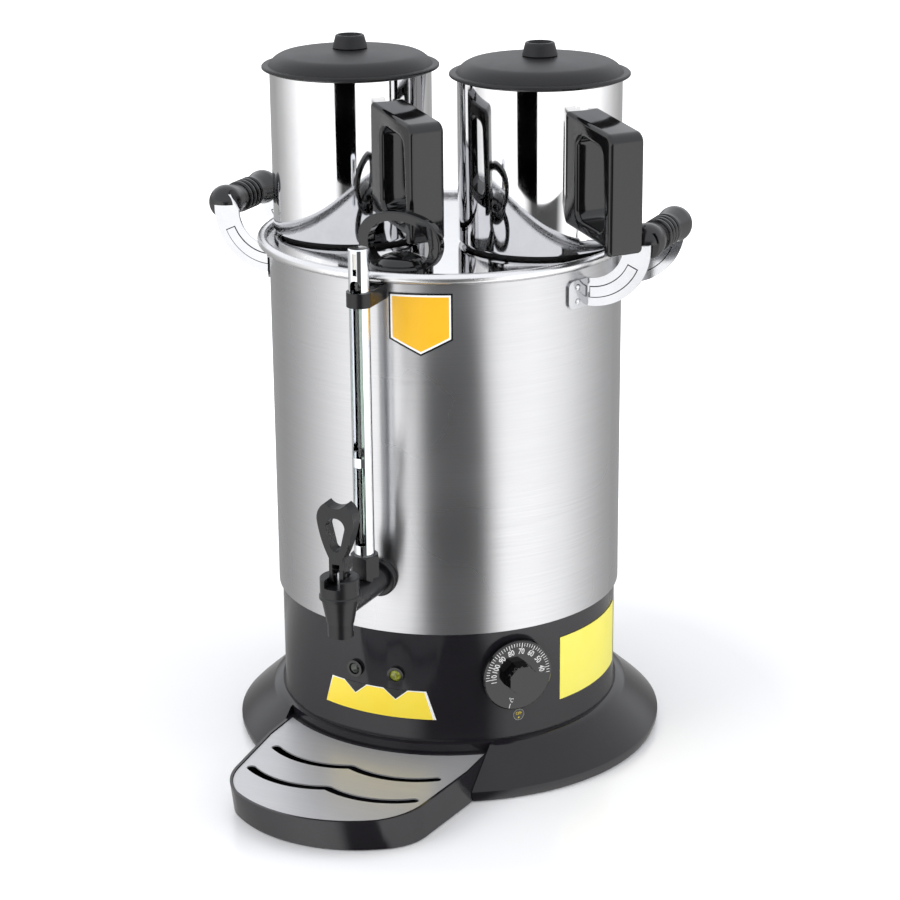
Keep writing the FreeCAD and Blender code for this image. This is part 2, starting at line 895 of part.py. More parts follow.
def cable_gland():
    inside = base_radius - base_wall - gland_nut_thickness - seam
    outside = base_radius + seam
    head = hex_bar(2 * gland_radius * cos(pi / 6), 0, gland_length / 2)
    dome = Part.makeCone(gland_radius * cos(pi / 6) - seam, gland_thread_radius - base_wall / 2,
                         gland_length / 2,
                         Vector(0, 0, gland_length / 2))
    gland = facing(head.fuse(dome), outside, gland_height)
    thread = radial_hole(gland_thread_radius, 0, gland_height, inside, outside + seam)
    nut = facing(hex_bar(2 * gland_radius * cos(pi / 6), 0, gland_nut_thickness - 2 * seam), inside,
                 gland_height)
    flat = sqrt((base_radius - base_wall) ** 2 - gland_radius ** 2)
    nut = moved(nut, 0, inside - flat + gland_nut_thickness)
    gland = joined([gland, thread, nut])
    gland = gland.cut(radial_hole(gland_bore_radius, 0, gland_height, 0, outside + 2 * gland_length))
    return about(gland, gland_turn + base_turn)


# Pilot lamps


def lamp_bezels():
    bezels = []
    for side in (-1, 1):
        rim = ring(lamp_radius, lamp_lens_radius + seam, 0, lamp_proud)
        barrel = ring(lamp_barrel_radius, lamp_lens_radius + seam, -lamp_barrel_length, seam)
        bezel = facing(rim.fuse(barrel).removeSplitter(), base_radius + seam, lamp_height)
        bezels.append(about(bezel, side * lamp_angle + base_turn))
    return Part.makeCompound(bezels)


def lamp_lens(side):
    stem = disc(lamp_lens_radius, -lamp_barrel_length, lamp_proud / 2)
    ball_radius = lamp_lens_curve
    centre = lamp_proud / 2 - sqrt(ball_radius ** 2 - lamp_lens_radius ** 2)
    ball = Part.makeSphere(ball_radius, Vector(0, 0, centre))
    cap = ball.common(disc(lamp_lens_radius, 0, 2 * lamp_radius))
    lens = facing(stem.fuse(cap).removeSplitter(), base_radius + seam, lamp_height)
    return about(lens, side * lamp_angle + base_turn)


# Bare labels and the badge, bent round what carries them


def curved_plate(radius, thickness, outline):
    """Plate on a cylinder: the outline is given as (angle from the front, height)."""
    points = [Vector((radius + thickness) * sin(radians(angle)), -radius - 2 * thickness, height)
              for angle, height in outline]
    face = Part.Face(Part.makePolygon(points + [points[0]]))
    block = face.extrude(Vector(0, radius / 3, 0))
    band = ring(radius + thickness, radius, min(z for a, z in outline), max(z for a, z in outline))
    return block.common(band)


def panel_label():
    outline = [(-panel_top_half_angle, panel_top_height), (panel_top_half_angle, panel_top_height),
               (panel_bottom_half_angle, panel_bottom_height),
               (-panel_bottom_half_angle, panel_bottom_height)]
    return about(curved_plate(base_radius + seam, label_thickness, outline), base_turn)


def side_label():
    half = (side_label_end_angle - side_label_start_angle) / 2
    outline = [(-half, side_label_top), (half, side_label_top), (half, side_label_low),
               (-half, side_label_low)]
    return about(curved_plate(base_radius + seam, label_thickness, outline),
                 side_label_start_angle + half + base_turn)


def badge():
    outline = [(-badge_half_angle, badge_top_height), (badge_half_angle, badge_top_height),
               (badge_half_angle, badge_shoulder_height), (0, badge_tip_height),
               (-badge_half_angle, badge_shoulder_height)]
    return about(curved_plate(tank_radius + seam, badge_thickness, outline), badge_turn)


nodes["heating_element"] = heating_element()
nodes["element_nuts"] = element_nuts()
nodes["thermostat_body"] = thermostat_body()
nodes["thermostat_bulb"] = thermostat_bulb()
nodes["thermostat_knob"] = thermostat_knob()
nodes["dry_boil_cutout"] = dry_boil_cutout()
nodes["terminal_block"] = terminal_block()
nodes["cable_gland"] = cable_gland()
nodes["lamp_bezels"] = lamp_bezels()
nodes["lamp_lens_on"] = lamp_lens(-1)
nodes["lamp_lens_heat"] = lamp_lens(1)
nodes["panel_label"] = panel_label()
nodes["side_label"] = side_label()
nodes["badge"] = badge()

# Side handles. Each is drawn for the right side, with +X outwards, and the left one is its mirror image


def strap_outline():
    """Arm of the strap in the upright plane: out from the drum, then round and up into the grip."""
    outer = strap_arc_inner + strap_width
    centre = Vector(strap_arc_reach, 0, strap_arc_height)
    root = sqrt(tank_radius ** 2 - (strap_offset - strap_thickness / 2) ** 2) + seam
    quarter = Vector(cos(pi / 4), 0, -sin(pi / 4))
    low_out = centre + Vector(0, 0, -outer)
    high_out = centre + Vector(outer, 0, 0)
    low_in = centre + Vector(0, 0, -strap_arc_inner)
    high_in = centre + Vector(strap_arc_inner, 0, 0)
    top_out = Vector(high_out.x, 0, strap_top_height)
    top_in = Vector(high_in.x + strap_tongue_inset, 0, strap_top_height)
    root_low = Vector(root, 0, low_out.z)
    root_high = Vector(root, 0, low_in.z)
    wire = Part.Wire([line(root_low, low_out), arc(low_out, centre + quarter * outer, high_out),
                      line(high_out, top_out), line(top_out, top_in), line(top_in, high_in),
                      arc(high_in, centre + quarter * strap_arc_inner, low_in), line(low_in, root_high),
                      line(root_high, root_low)])
    return Part.Face(wire)


def strap_arm(side):
    """One arm with its foot plate, on the front (-1) or the back (+1) of the handle."""
    middle = side * strap_offset
    arm = strap_outline()
    arm.translate(Vector(0, middle - strap_thickness / 2, 0))
    arm = arm.extrude(Vector(0, strap_thickness, 0))
    face = middle + side * strap_thickness / 2
    middle_radius = strap_arc_inner + strap_width / 2
    pad = Part.makeCylinder(middle_radius + emboss_width / 2, emboss_proud,
                            Vector(strap_arc_reach, face, strap_arc_height),
                            Vector(0, side, 0))
    pad = pad.cut(Part.makeCylinder(middle_radius - emboss_width / 2, emboss_proud,
                                    Vector(strap_arc_reach, face, strap_arc_height), Vector(0, side, 0)))
    reach = 2 * middle_radius
    keep = Part.Face(Part.makePolygon([
        Vector(strap_arc_reach, face, strap_arc_height),
        Vector(strap_arc_reach + reach * cos(radians(emboss_end_angle)), face,
               strap_arc_height - reach * sin(radians(emboss_end_angle))),
        Vector(strap_arc_reach, face, strap_arc_height - reach),
        Vector(strap_arc_reach, face, strap_arc_height)])).extrude(Vector(0, side * emboss_proud, 0))
    pad = pad.common(keep)
    low = strap_low
    inner = tank_radius + seam
    plate = ring(inner + strap_thickness, inner, low, low + strap_width)
    start = asin((strap_offset - strap_thickness / 2) / inner)
    stop = asin(strap_offset / inner) + foot_plate_length / inner
    far = 2 * tank_radius
    wedge = prism([(0, 0), (far * cos(start), side * far * sin(start)),
                   (far * cos(stop), side * far * sin(stop))],
                  low - seam, low + strap_width + seam)
    plate = plate.common(wedge)
    plate = rounded(plate, foot_plate_corner, lambda edge: is_foot_corner(edge, stop))
    return arm.fuse([pad, plate]).removeSplitter()


def is_foot_corner(edge, stop):
    """True for the two short radial edges at the free end of a foot plate."""
    ends = [vertex.Point for vertex in edge.Vertexes]
    if len(ends) < 2:
        return False
    level = abs(ends[0].z - ends[1].z) < seam
    swing = abs(ends[0].y) / sqrt(ends[0].x ** 2 + ends[0].y ** 2)
    return level and edge.Length < strap_thickness + seam and swing > sin(stop) - seam / tank_radius


def handle_straps(side):
    arms = []
    for end in (-1, 1):
        arm = strap_arm(end)
        hole = Part.makeCylinder(grip_rod_radius + seam, 2 * tank_radius,
                                 Vector(grip_reach, -tank_radius, grip_rod_height),
                                 Vector(0, 1, 0))
        arm = arm.cut(hole)
        for turn, height in rivet_places():
            arm = arm.cut(radial_hole(rivet_shank_radius + seam, turn - handle_turn, height,
                                      tank_radius - seam,
                                      tank_radius + 2 * strap_thickness))
        arms.append(arm)
    pair = Part.makeCompound(arms)
    if side < 0:
        pair = mirrored(pair)
    return about(pair, handle_turn)


def handle_grip(side):
    along = Vector(0, 1, 0)
    length = 2 * grip_ball_offset
    bar = Part.makeCylinder(grip_radius, length, Vector(grip_reach, -grip_ball_offset, grip_height), along)
    shapes = [bar]
    flare_radius = sqrt(grip_ball_radius ** 2 - (grip_ball_offset - grip_flare_end) ** 2)
    for end in (-1, 1):
        shapes.append(Part.makeSphere(grip_ball_radius,
                                      Vector(grip_reach, end * grip_ball_offset, grip_height)))
        shapes.append(Part.makeCone(grip_radius, flare_radius, grip_flare_end - grip_flare_start,
                                    Vector(grip_reach, end * grip_flare_start, grip_height), along * end))
    for index in range(grip_rib_count):
        middle = (index - (grip_rib_count - 1) / 2) * grip_rib_pitch
        rib = Part.makeCylinder(grip_rib_radius, grip_rib_width,
                                Vector(grip_reach, middle - grip_rib_width / 2, grip_height), along)
        shapes.append(rounded(rib, grip_rib_radius - grip_radius, lambda edge: edge.Length > grip_radius))
    grip = joined(shapes)
    width = 2 * grip_ball_radius
    for end in (-1, 1):
        inside = strap_offset - strap_thickness / 2 - seam
        outside = strap_offset + strap_thickness / 2 + seam
        slot = Part.makeBox(2 * width, strap_thickness + 2 * seam, width,
                            Vector(grip_reach - width, min(end * inside, end * outside),
                                   strap_top_height + seam - width))
        open_side = Part.makeBox(2 * width, width, width,
                                 Vector(grip_reach - width, inside if end > 0 else -inside - width,
                                        grip_height - width))
        grip = grip.cut(slot).cut(open_side)
    bore = Part.makeCylinder(grip_rod_radius + seam, 4 * grip_ball_offset,
                             Vector(grip_reach, -2 * grip_ball_offset, grip_rod_height), along)
    keep = 2 * (strap_offset + 2 * strap_thickness)
    bore = bore.common(Part.makeBox(width, keep, width,
                                    Vector(grip_reach - width / 2, -keep / 2, grip_height - width / 2)))
    grip = grip.cut(bore)
    if side < 0:
        grip = mirrored(grip)
    return about(grip, handle_turn)


def handle_rods():
    rods = []
    reach = strap_offset + 2 * strap_thickness - seam
    for side in (-1, 1):
        rod = Part.makeCylinder(grip_rod_radius, 2 * reach,
                                Vector(side * grip_reach, -reach, grip_rod_height),
                                Vector(0, 1, 0))
        rods.append(about(rod, handle_turn))
    return Part.makeCompound(rods)


def handle_rivets():
    surface = tank_radius + 2 * seam + strap_thickness
    rivet = turned([
        (0, tank_radius - 2 * tank_wall),
        (rivet_shank_radius, tank_radius - 2 * tank_wall),
        (rivet_shank_radius, surface),
        (rivet_head_radius, surface),
        (rivet_head_radius, surface + rivet_head / 4),
        (rivet_head_radius * cos(pi / 4), surface + rivet_head * sin(pi / 4)),
        (0, surface + rivet_head),
    ])
    rivets = [about(facing(rivet, 0, height), turn) for turn, height in rivet_places()]
    return Part.makeCompound(rivets)


nodes["left_handle_straps"] = handle_straps(-1)
nodes["right_handle_straps"] = handle_straps(1)
nodes["left_handle_grip"] = handle_grip(-1)
nodes["right_handle_grip"] = handle_grip(1)
nodes["handle_rods"] = handle_rods()
nodes["handle_rivets"] = handle_rivets()

# Tap. Its own axis is upright at tap_reach in front of the tank's axis


def tap_turned(points):
    return moved(turned(points), 0, -tap_reach)


def shank_bar(radius, near, far):
    return Part.makeCylinder(radius, far - near, Vector(0, -near, tap_height), Vector(0, -1, 0))


def thread_height():
    return cone_top_height + bonnet_lip_height + bonnet_wall


def tap_body():
    face = tank_radius + tap_washer_thickness + 2 * seam
    cone = tap_turned([
        (0, tip_height),
        (tip_radius, tip_height),
        (tip_radius, cone_bottom_height),
        (cone_bottom_radius, cone_bottom_height),
        (cone_top_radius - bonnet_lip, cone_top_height),
        (chamber_radius + bonnet_wall - seam, cone_top_height),
        (chamber_radius + bonnet_wall - seam, thread_height()),
        (0, thread_height()),
    ])
    shank = shank_bar(shank_radius, tank_radius - shank_inner_length, tap_reach - chamber_radius / 2)
    taper = Part.makeCone(tap_flange_radius - tap_flange_thickness, shank_radius, tap_reach - face,
                          Vector(0, -face, tap_height), Vector(0, -1, 0))
    taper = taper.common(Part.makeBox(4 * shank_radius, tap_reach - chamber_radius - face, 4 * shank_radius,
                                      Vector(-2 * shank_radius, -tap_reach + chamber_radius,
                                             tap_height - 2 * shank_radius)))
    flange = shank_bar(tap_flange_radius, face, face + tap_flange_thickness)
    flange = rounded(flange, tap_flange_thickness / 2, lambda edge: edge.Length > tap_flange_radius
                     and edge.CenterOfMass.y < -face - tap_flange_thickness / 2)
    boss = moved(disc(gauge_boss_radius, tap_height, gauge_nut_low + gauge_nut_socket - seam), 0,
                 -gauge_reach)
    body = joined([cone, shank, taper, flange, boss])
    bore = shank_bar(shank_bore_radius, tank_radius - 2 * shank_inner_length,
                     tap_reach - chamber_radius / 2)
    well = tap_turned([
        (0, tip_height - seam),
        (spout_bore_radius, tip_height - seam),
        (spout_bore_radius, valve_seat_height),
        (chamber_radius, valve_seat_height),
        (chamber_radius, thread_height() + seam),
        (0, thread_height() + seam),
    ])
    gauge_hole = moved(disc(glass_radius - glass_wall, tap_height, thread_height() * 2), 0, -gauge_reach)
    glass_seat = moved(disc(glass_radius + seam, gauge_nut_low, thread_height() * 2), 0, -gauge_reach)
    return body.cut(bore).cut(well).cut(gauge_hole).cut(glass_seat)


def tap_washer():
    near = tank_radius + seam
    washer = shank_bar(tap_flange_radius, near, near + tap_washer_thickness)
    return washer.cut(shank_bar(shank_radius + seam, 0, tap_reach))


def tap_lock_nut():
    corner = lock_nut_width / 2 / cos(pi / 6)
    near = sqrt((tank_radius - tank_wall) ** 2 - corner ** 2) - seam
    nut = facing(hex_bar(lock_nut_width, 0, lock_nut_thickness), near - lock_nut_thickness, tap_height)
    return nut.cut(shank_bar(shank_radius + seam, 0, tap_reach))


def tap_bonnet():
    low = cone_top_height + seam
    bonnet = tap_turned([
        (chamber_radius + bonnet_wall, low),
        (bonnet_radius + bonnet_lip, low),
        (bonnet_radius + bonnet_lip, low + bonnet_lip_height),
        (bonnet_radius, low + bonnet_lip_height + bonnet_lip),
        (bonnet_radius, bonnet_top_height - bonnet_lip),
        (bonnet_radius - bonnet_lip, bonnet_top_height),
        (0, bonnet_top_height),
        (0, bonnet_floor_low),
        (chamber_radius + bonnet_wall, bonnet_floor_low),
    ])
    slot = Part.makeBox(bonnet_slot_width, 2 * bonnet_radius, bonnet_top_height,
                        Vector(-bonnet_slot_width / 2,
                               -tap_reach - 2 * bonnet_radius + lever_depth / 2 + bonnet_wall,
                               bonnet_slot_low))
    hole = tap_turned([(0, 0), (stem_radius + running, 0), (stem_radius + running, 2 * bonnet_top_height),
                       (0, 2 * bonnet_top_height)])
    return bonnet.cut(slot).cut(hole)


def seat_cup():
    low = valve_seat_height + seam
    return tap_turned([
        (0, low),
        (seat_cup_radius, low),
        (seat_cup_radius, low + seat_cup_height / 2),
        (seat_cup_radius - bonnet_wall, low + seat_cup_height),
        (stem_radius + seam, low + seat_cup_height),
        (stem_radius + seam, low + seat_cup_height / 2),
        (0, low + seat_cup_height / 2),
    ])


def tap_stem():
    low = valve_seat_height + 2 * seam + seat_cup_height / 2
    top = lever_pivot_height + 2 * lever_pin_radius
    collar = valve_seat_height + seat_cup_height + 2 * seam
    stem = tap_turned([
        (0, low),
        (stem_radius, low),
        (stem_radius, collar),
        (spring_radius + spring_wire_radius, collar),
        (spring_radius + spring_wire_radius, collar + bonnet_lip),
        (stem_radius, collar + bonnet_lip),
        (stem_radius, top - bonnet_lip),
        (stem_radius - bonnet_lip, top),
        (0, top),
    ])
    return stem.cut(pin_bar(lever_pin_radius + running))


def pin_bar(radius):
    return Part.makeCylinder(radius, 2 * tank_radius,
                             Vector(-tank_radius, -tap_reach, lever_pivot_height), Vector(1, 0, 0))


def lever_pin():
    half = lever_neck_width / 2 - running
    return Part.makeCylinder(lever_pin_radius, 2 * half, Vector(-half, -tap_reach, lever_pivot_height),
                             Vector(1, 0, 0))


def coil_path(radius, pitch, turns):
    """Helix as pairs of arcs, one pair for each half turn, each pair tangent to the next."""
    edges = []
    steepness = pitch / (2 * pi * radius)
    for index in range(2 * turns):
        points = []
        for angle in (index * pi, (index + 1) * pi):
            place = Vector(radius * cos(angle), radius * sin(angle), pitch * angle / 2 / pi)
            heading = Vector(-sin(angle), cos(angle), steepness).normalize()
            points.append((place, heading))
        (start, leave), (end, arrive) = points
        span = end - start
        both = leave + arrive
        a = 2 * (leave.dot(arrive) - 1)
        b = -2 * span.dot(both)
        reach = (-b - sqrt(b * b - 4 * a * span.dot(span))) / 2 / a
        joint = (start + leave * reach + end - arrive * reach) * 0.5
        heading = (joint - start - leave * reach).normalize()
        edges.append(tangent_arc(start, leave, joint))
        edges.append(tangent_arc(joint, heading, end))
    return edges


def tap_spring():
    """Open coil between the stem's collar and the bonnet's inner floor."""
    low = valve_seat_height + seat_cup_height + 2 * seam + bonnet_lip + spring_wire_radius + seam
    top = bonnet_floor_low - spring_wire_radius - seam
    pitch = (top - low) / spring_turns
    coil = swept(coil_path(spring_radius, pitch, spring_turns), spring_wire_radius)
    return moved(coil, 0, -tap_reach, low)


def tap_lever():
    back = lever_depth / 2
    across = Vector(0, lever_depth, 0)
    loop = lever_outline().extrude(across).cut(lever_hole().extrude(across))
    neck = Part.makeBox(lever_neck_width, lever_depth, lever_ring_bottom + lever_band - lever_pivot_height,
                        Vector(-lever_neck_width / 2, -back, lever_pivot_height))
    nose = Part.makeCylinder(back, lever_neck_width,
                             Vector(-lever_neck_width / 2, 0, lever_pivot_height), Vector(1, 0, 0))
    heel = Part.Face(Part.makePolygon([
        Vector(-lever_neck_width / 2, back - lever_band, lever_pivot_height),
        Vector(-lever_neck_width / 2, 2 * back, lever_pivot_height + lever_band),
        Vector(-lever_neck_width / 2, 2 * back - lever_band / 2, lever_ring_bottom - lever_band / 2),
        Vector(-lever_neck_width / 2, back - lever_band, lever_ring_bottom),
        Vector(-lever_neck_width / 2, back - lever_band, lever_pivot_height),
    ])).extrude(Vector(lever_neck_width, 0, 0))
    lever = joined([loop, neck, nose, heel])
    window = Part.makeBox(lever_cheek_slot, 2 * lever_depth,
                          lever_ring_bottom - lever_band - lever_pivot_height + back,
                          Vector(-lever_cheek_slot / 2, -lever_depth - back + lever_depth,
                                 lever_pivot_height - back))
    window = window.cut(Part.makeBox(lever_cheek_slot, lever_depth, lever_ring_bottom,
                                     Vector(-lever_cheek_slot / 2, back, lever_pivot_height)))
    front = Part.makeBox(lever_cheek_slot, lever_depth,
                         lever_ring_bottom - lever_band - lever_pivot_height + back,
                         Vector(-lever_cheek_slot / 2, -lever_depth, lever_pivot_height - back))
    lever = lever.cut(window.fuse(front))
    return moved(lever, 0, -tap_reach).cut(pin_bar(lever_pin_radius + running))


def lever_outline():
    """Egg-shaped outline of the lever's ring with its dipped top."""
    half = lever_width / 2
    low = lever_ring_bottom
    top = lever_top_height
    shoulder = top - lever_shoulder_drop
    foot = lever_neck_width / 2
    y = -lever_depth / 2
    upper = (top + shoulder) / 2
    swell = half * lever_shoulder_round
    left = arc(Vector(-lever_crown_half, y, top), Vector(-swell, y, upper), Vector(-half, y, shoulder))
    right = arc(Vector(half, y, shoulder), Vector(swell, y, upper), Vector(lever_crown_half, y, top))
    crown = arc(Vector(lever_crown_half, y, top), Vector(0, y, top - lever_dip),
                Vector(-lever_crown_half, y, top))
    middle = (low + shoulder) / 2
    left_side = arc(Vector(-half, y, shoulder), Vector(-lever_waist_half, y, middle), Vector(-foot, y, low))
    right_side = arc(Vector(foot, y, low), Vector(lever_waist_half, y, middle), Vector(half, y, shoulder))
    base = line(Vector(-foot, y, low), Vector(foot, y, low))
    return Part.Face(Part.Wire([left, left_side, base, right_side, right, crown]))


def lever_hole():
    """Egg-shaped hole through the ring, wider at the top."""
    y = -lever_depth / 2
    wide = lever_hole_width / 2
    narrow = lever_hole_foot_width / 2
    high = lever_hole_top - wide
    low = lever_hole_low + narrow
    top = arc(Vector(-wide, y, high), Vector(0, y, lever_hole_top), Vector(wide, y, high))
    bottom = arc(Vector(narrow, y, low), Vector(0, y, lever_hole_low), Vector(-narrow, y, low))
    right = line(Vector(wide, y, high), Vector(narrow, y, low))
    left = line(Vector(-narrow, y, low), Vector(-wide, y, high))
    return Part.Face(Part.Wire([top, right, bottom, left]))


nodes["tap_body"] = tap_body()
nodes["tap_washer"] = tap_washer()
nodes["tap_lock_nut"] = tap_lock_nut()
nodes["tap_bonnet"] = tap_bonnet()
nodes["seat_cup"] = seat_cup()
nodes["tap_stem"] = tap_stem()
nodes["tap_spring"] = tap_spring()
nodes["lever_pin"] = lever_pin()
nodes["tap_lever"] = tap_lever()

# Sight gauge: a glass tube on the tap's shank, in a slotted guard tube that a strap holds at the top


def at_gauge(shape):
    return moved(shape, 0, -gauge_reach)


def guard_low():
    return gauge_nut_top - gauge_nut_socket


def gauge_seat_nut():
    low = gauge_nut_low + seam
    nut = hex_bar(gauge_nut_width, low, gauge_nut_top)
    corner = gauge_nut_width / 2 / cos(pi / 6)
    shape = turned([(0, low), (corner, low), (corner, gauge_nut_top - bonnet_wall),
                    (corner - bonnet_wall, gauge_nut_top), (0, gauge_nut_top)])
    nut = nut.common(shape)
    nut = nut.cut(disc(gauge_boss_radius + seam, low - seam, gauge_nut_low + gauge_nut_socket))
    nut = nut.cut(disc(glass_radius + seam, low, gauge_nut_top + seam))
    nut = nut.cut(disc(guard_radius + seam, guard_low() - seam, gauge_nut_top + seam))
    bar = shank_bar(shank_radius + tap_flange_thickness, 0, tap_reach)
    return at_gauge(nut).cut(bar.common(at_gauge(disc(gauge_nut_width, 0, gauge_nut_low - seam))))


def gauge_glass():
    low = gauge_nut_low + seam
    top = guard_top_height - guard_wall - 2 * seal_height
    return at_gauge(ring(glass_radius, glass_radius - glass_wall, low, top))


def gauge_seals():
    low = guard_low() + seam
    width = guard_radius - guard_wall - seam
    lower = ring(width, glass_radius + seam, low, low + seal_height)
    top = guard_top_height - guard_wall - seam
    glass_top = top - 2 * seal_height + seam
    upper = disc(width, glass_top - seal_height, top)
    upper = upper.cut(disc(glass_radius + seam, glass_top - seal_height - seam, glass_top + seam))
    upper = upper.cut(disc(glass_radius - 2 * glass_wall, glass_top - seam, top + seam))
    return at_gauge(Part.makeCompound([lower, upper]))


def slot_cutter(width, low, top, arched):
    half = width / 2
    depth = 2 * guard_radius
    flat_top = top - half if arched else top
    outline = [line(Vector(-half, 0, low), Vector(half, 0, low)),
               line(Vector(half, 0, low), Vector(half, 0, flat_top))]
    if arched:
        outline.append(arc(Vector(half, 0, flat_top), Vector(0, 0, top), Vector(-half, 0, flat_top)))
    else:
        outline.append(line(Vector(half, 0, flat_top), Vector(-half, 0, flat_top)))
    outline.append(line(Vector(-half, 0, flat_top), Vector(-half, 0, low)))
    return Part.Face(Part.Wire(outline)).extrude(Vector(0, -depth, 0))


def gauge_guard():
    low = guard_low()
    tube = turned([
        (guard_radius - guard_wall, low),
        (guard_radius, low),
        (guard_radius, guard_top_height - guard_wall),
        (guard_radius - guard_wall, guard_top_height),
        (0, guard_top_height),
        (0, guard_top_height - guard_wall),
        (guard_radius - guard_wall, guard_top_height - guard_wall),
    ])
    tube = tube.cut(slot_cutter(guard_slot_width, guard_main_slot_low, guard_main_slot_top, True))
    tube = tube.cut(slot_cutter(guard_slot_width, guard_low_slot_low, guard_low_slot_top, False))
    tube = tube.cut(slot_cutter(guard_slit_width, guard_slit_low, guard_slit_top, False))
    return at_gauge(tube)


def gauge_clamp():
    """Strap that wraps the guard tube and runs back to the drum."""
    top = clamp_low + clamp_height
    inner = guard_radius + seam
    outer = inner + clamp_thickness
    half = outer - seam
    body = disc(outer, clamp_low, top)
    back = Part.makeBox(2 * half, gauge_reach - tank_radius, clamp_height, Vector(-half, 0, clamp_low))
    body = at_gauge(body.fuse(back))
    body = body.cut(disc(tank_radius + seam, clamp_low - seam, top + seam))
    body = body.cut(at_gauge(disc(inner, clamp_low - seam, top + seam)))
    slot_depth = gauge_reach - tank_radius - inner - 2 * clamp_thickness
    window = Part.makeBox(2 * (half - clamp_thickness), slot_depth, clamp_height + 2 * seam,
                          Vector(-half + clamp_thickness, -gauge_reach + inner + clamp_thickness,
                                 clamp_low - seam))
    body = body.cut(window)
    hole = Part.makeCylinder(clamp_screw_radius + seam, gauge_reach,
                             Vector(0, -gauge_reach, clamp_low + clamp_height / 2),
                             Vector(0, 1, 0))
    hole = hole.common(Part.makeBox(outer, gauge_reach - inner - clamp_thickness, tank_rim_height,
                                    Vector(-outer / 2, -gauge_reach + inner + clamp_thickness, 0)))
    return body.cut(hole).removeSplitter()


def gauge_clamp_screw():
    middle = clamp_low + clamp_height / 2
    face = tank_radius + clamp_thickness + seam
    shank = Part.makeCylinder(clamp_screw_radius, clamp_screw_length, Vector(0, -face, middle),
                              Vector(0, 1, 0))
    head = Part.makeCylinder(2 * clamp_screw_radius, clamp_screw_head, Vector(0, -face - seam, middle),
                             Vector(0, -1, 0))
    return shank.fuse(head.fuse(Part.makeCylinder(clamp_screw_radius, clamp_screw_head,
                                                  Vector(0, -face - seam, middle),
                                                  Vector(0, 1, 0)))).removeSplitter()


nodes["gauge_seat_nut"] = gauge_seat_nut()
nodes["gauge_glass"] = gauge_glass()
nodes["gauge_seals"] = gauge_seals()
nodes["gauge_guard"] = gauge_guard()
nodes["gauge_clamp"] = gauge_clamp()
nodes["gauge_clamp_screw"] = gauge_clamp_screw()

# Teapots. Each is drawn about its own upright axis with its handle to the front, then turned and placed


def placed_pot(shape, side):
    copy = about(shape, pot_handle_turn)
    centre = radians(lid_turn)
    copy.translate(Vector(side * pot_spacing / 2 * cos(centre), side * pot_spacing / 2 * sin(centre), 0))
    return copy


def pot_body():
    low = pot_bottom_height
    inner = pot_radius - pot_wall
    body = turned([
        (0, low),
        (pot_radius - pot_corner, low),
        (pot_radius - pot_corner * (1 - sin(pi / 4)), low + pot_corner * (1 - cos(pi / 4))),
        (pot_radius, low + pot_corner),
        (pot_radius, pot_rim_height),
        (inner, pot_rim_height),
        (inner, low + pot_corner),
        (inner - pot_corner + pot_wall, low + pot_wall),
        (0, low + pot_wall),
    ])
    middle = (spout_low() + spout_high()) / 2 + strainer_pitch / 2
    for column in (-1, 0, 1):
        for row in (-1, 0, 1):
            if abs(column) + abs(row) < 2:
                turn = 180 + degrees(column * strainer_pitch / pot_radius)
                body = body.cut(radial_hole(strainer_hole_radius, turn, middle + row * strainer_pitch,
                                            inner - pot_wall, pot_radius + pot_wall))
    for turn, height in handle_screw_places():
        body = body.cut(radial_hole(handle_screw_radius + seam, turn, height, inner - pot_wall,
                                    pot_radius + pot_wall))
    return body


def spout_high():
    return pot_rim_height - spout_top_gap


def spout_low():
    return spout_high() - spout_height


def spout_cone(inset):
    """Half cone against the pot's wall: wide and far out at the top, running to nothing at the bottom."""
    reach = spout_reach - inset
    half = spout_width / 2 - inset
    high = spout_high() + (seam if inset else 0)
    back = pot_radius - spout_reach
    top = Part.Wire([arc(Vector(-half, back, high), Vector(0, pot_radius + reach, high),
                         Vector(half, back, high)),
                     line(Vector(half, back, high), Vector(-half, back, high))])
    small = spout_wall * 2 - inset
    low = spout_low() + inset
    foot = Part.Wire([arc(Vector(-small, back, low), Vector(0, pot_radius + small - spout_wall, low),
                          Vector(small, back, low)),
                      line(Vector(small, back, low), Vector(-small, back, low))])
    return Part.makeLoft([top, foot], True, True)


def pot_spout():
    spout = spout_cone(0).cut(spout_cone(spout_wall))
    return spout.cut(disc(pot_radius + seam, spout_low() - seam, spout_high() + 2 * seam))


def handle_screw_places():
    return [(0, handle_root_low_height + handle_corner), (0, handle_root_top_height - handle_corner)]


def upright_plate(points, half):
    """Plate of an outline given as (reach, height) pairs, upright and to the front."""
    return polygon([Vector(-half, -reach, z) for reach, z in points]).extrude(Vector(2 * half, 0, 0))


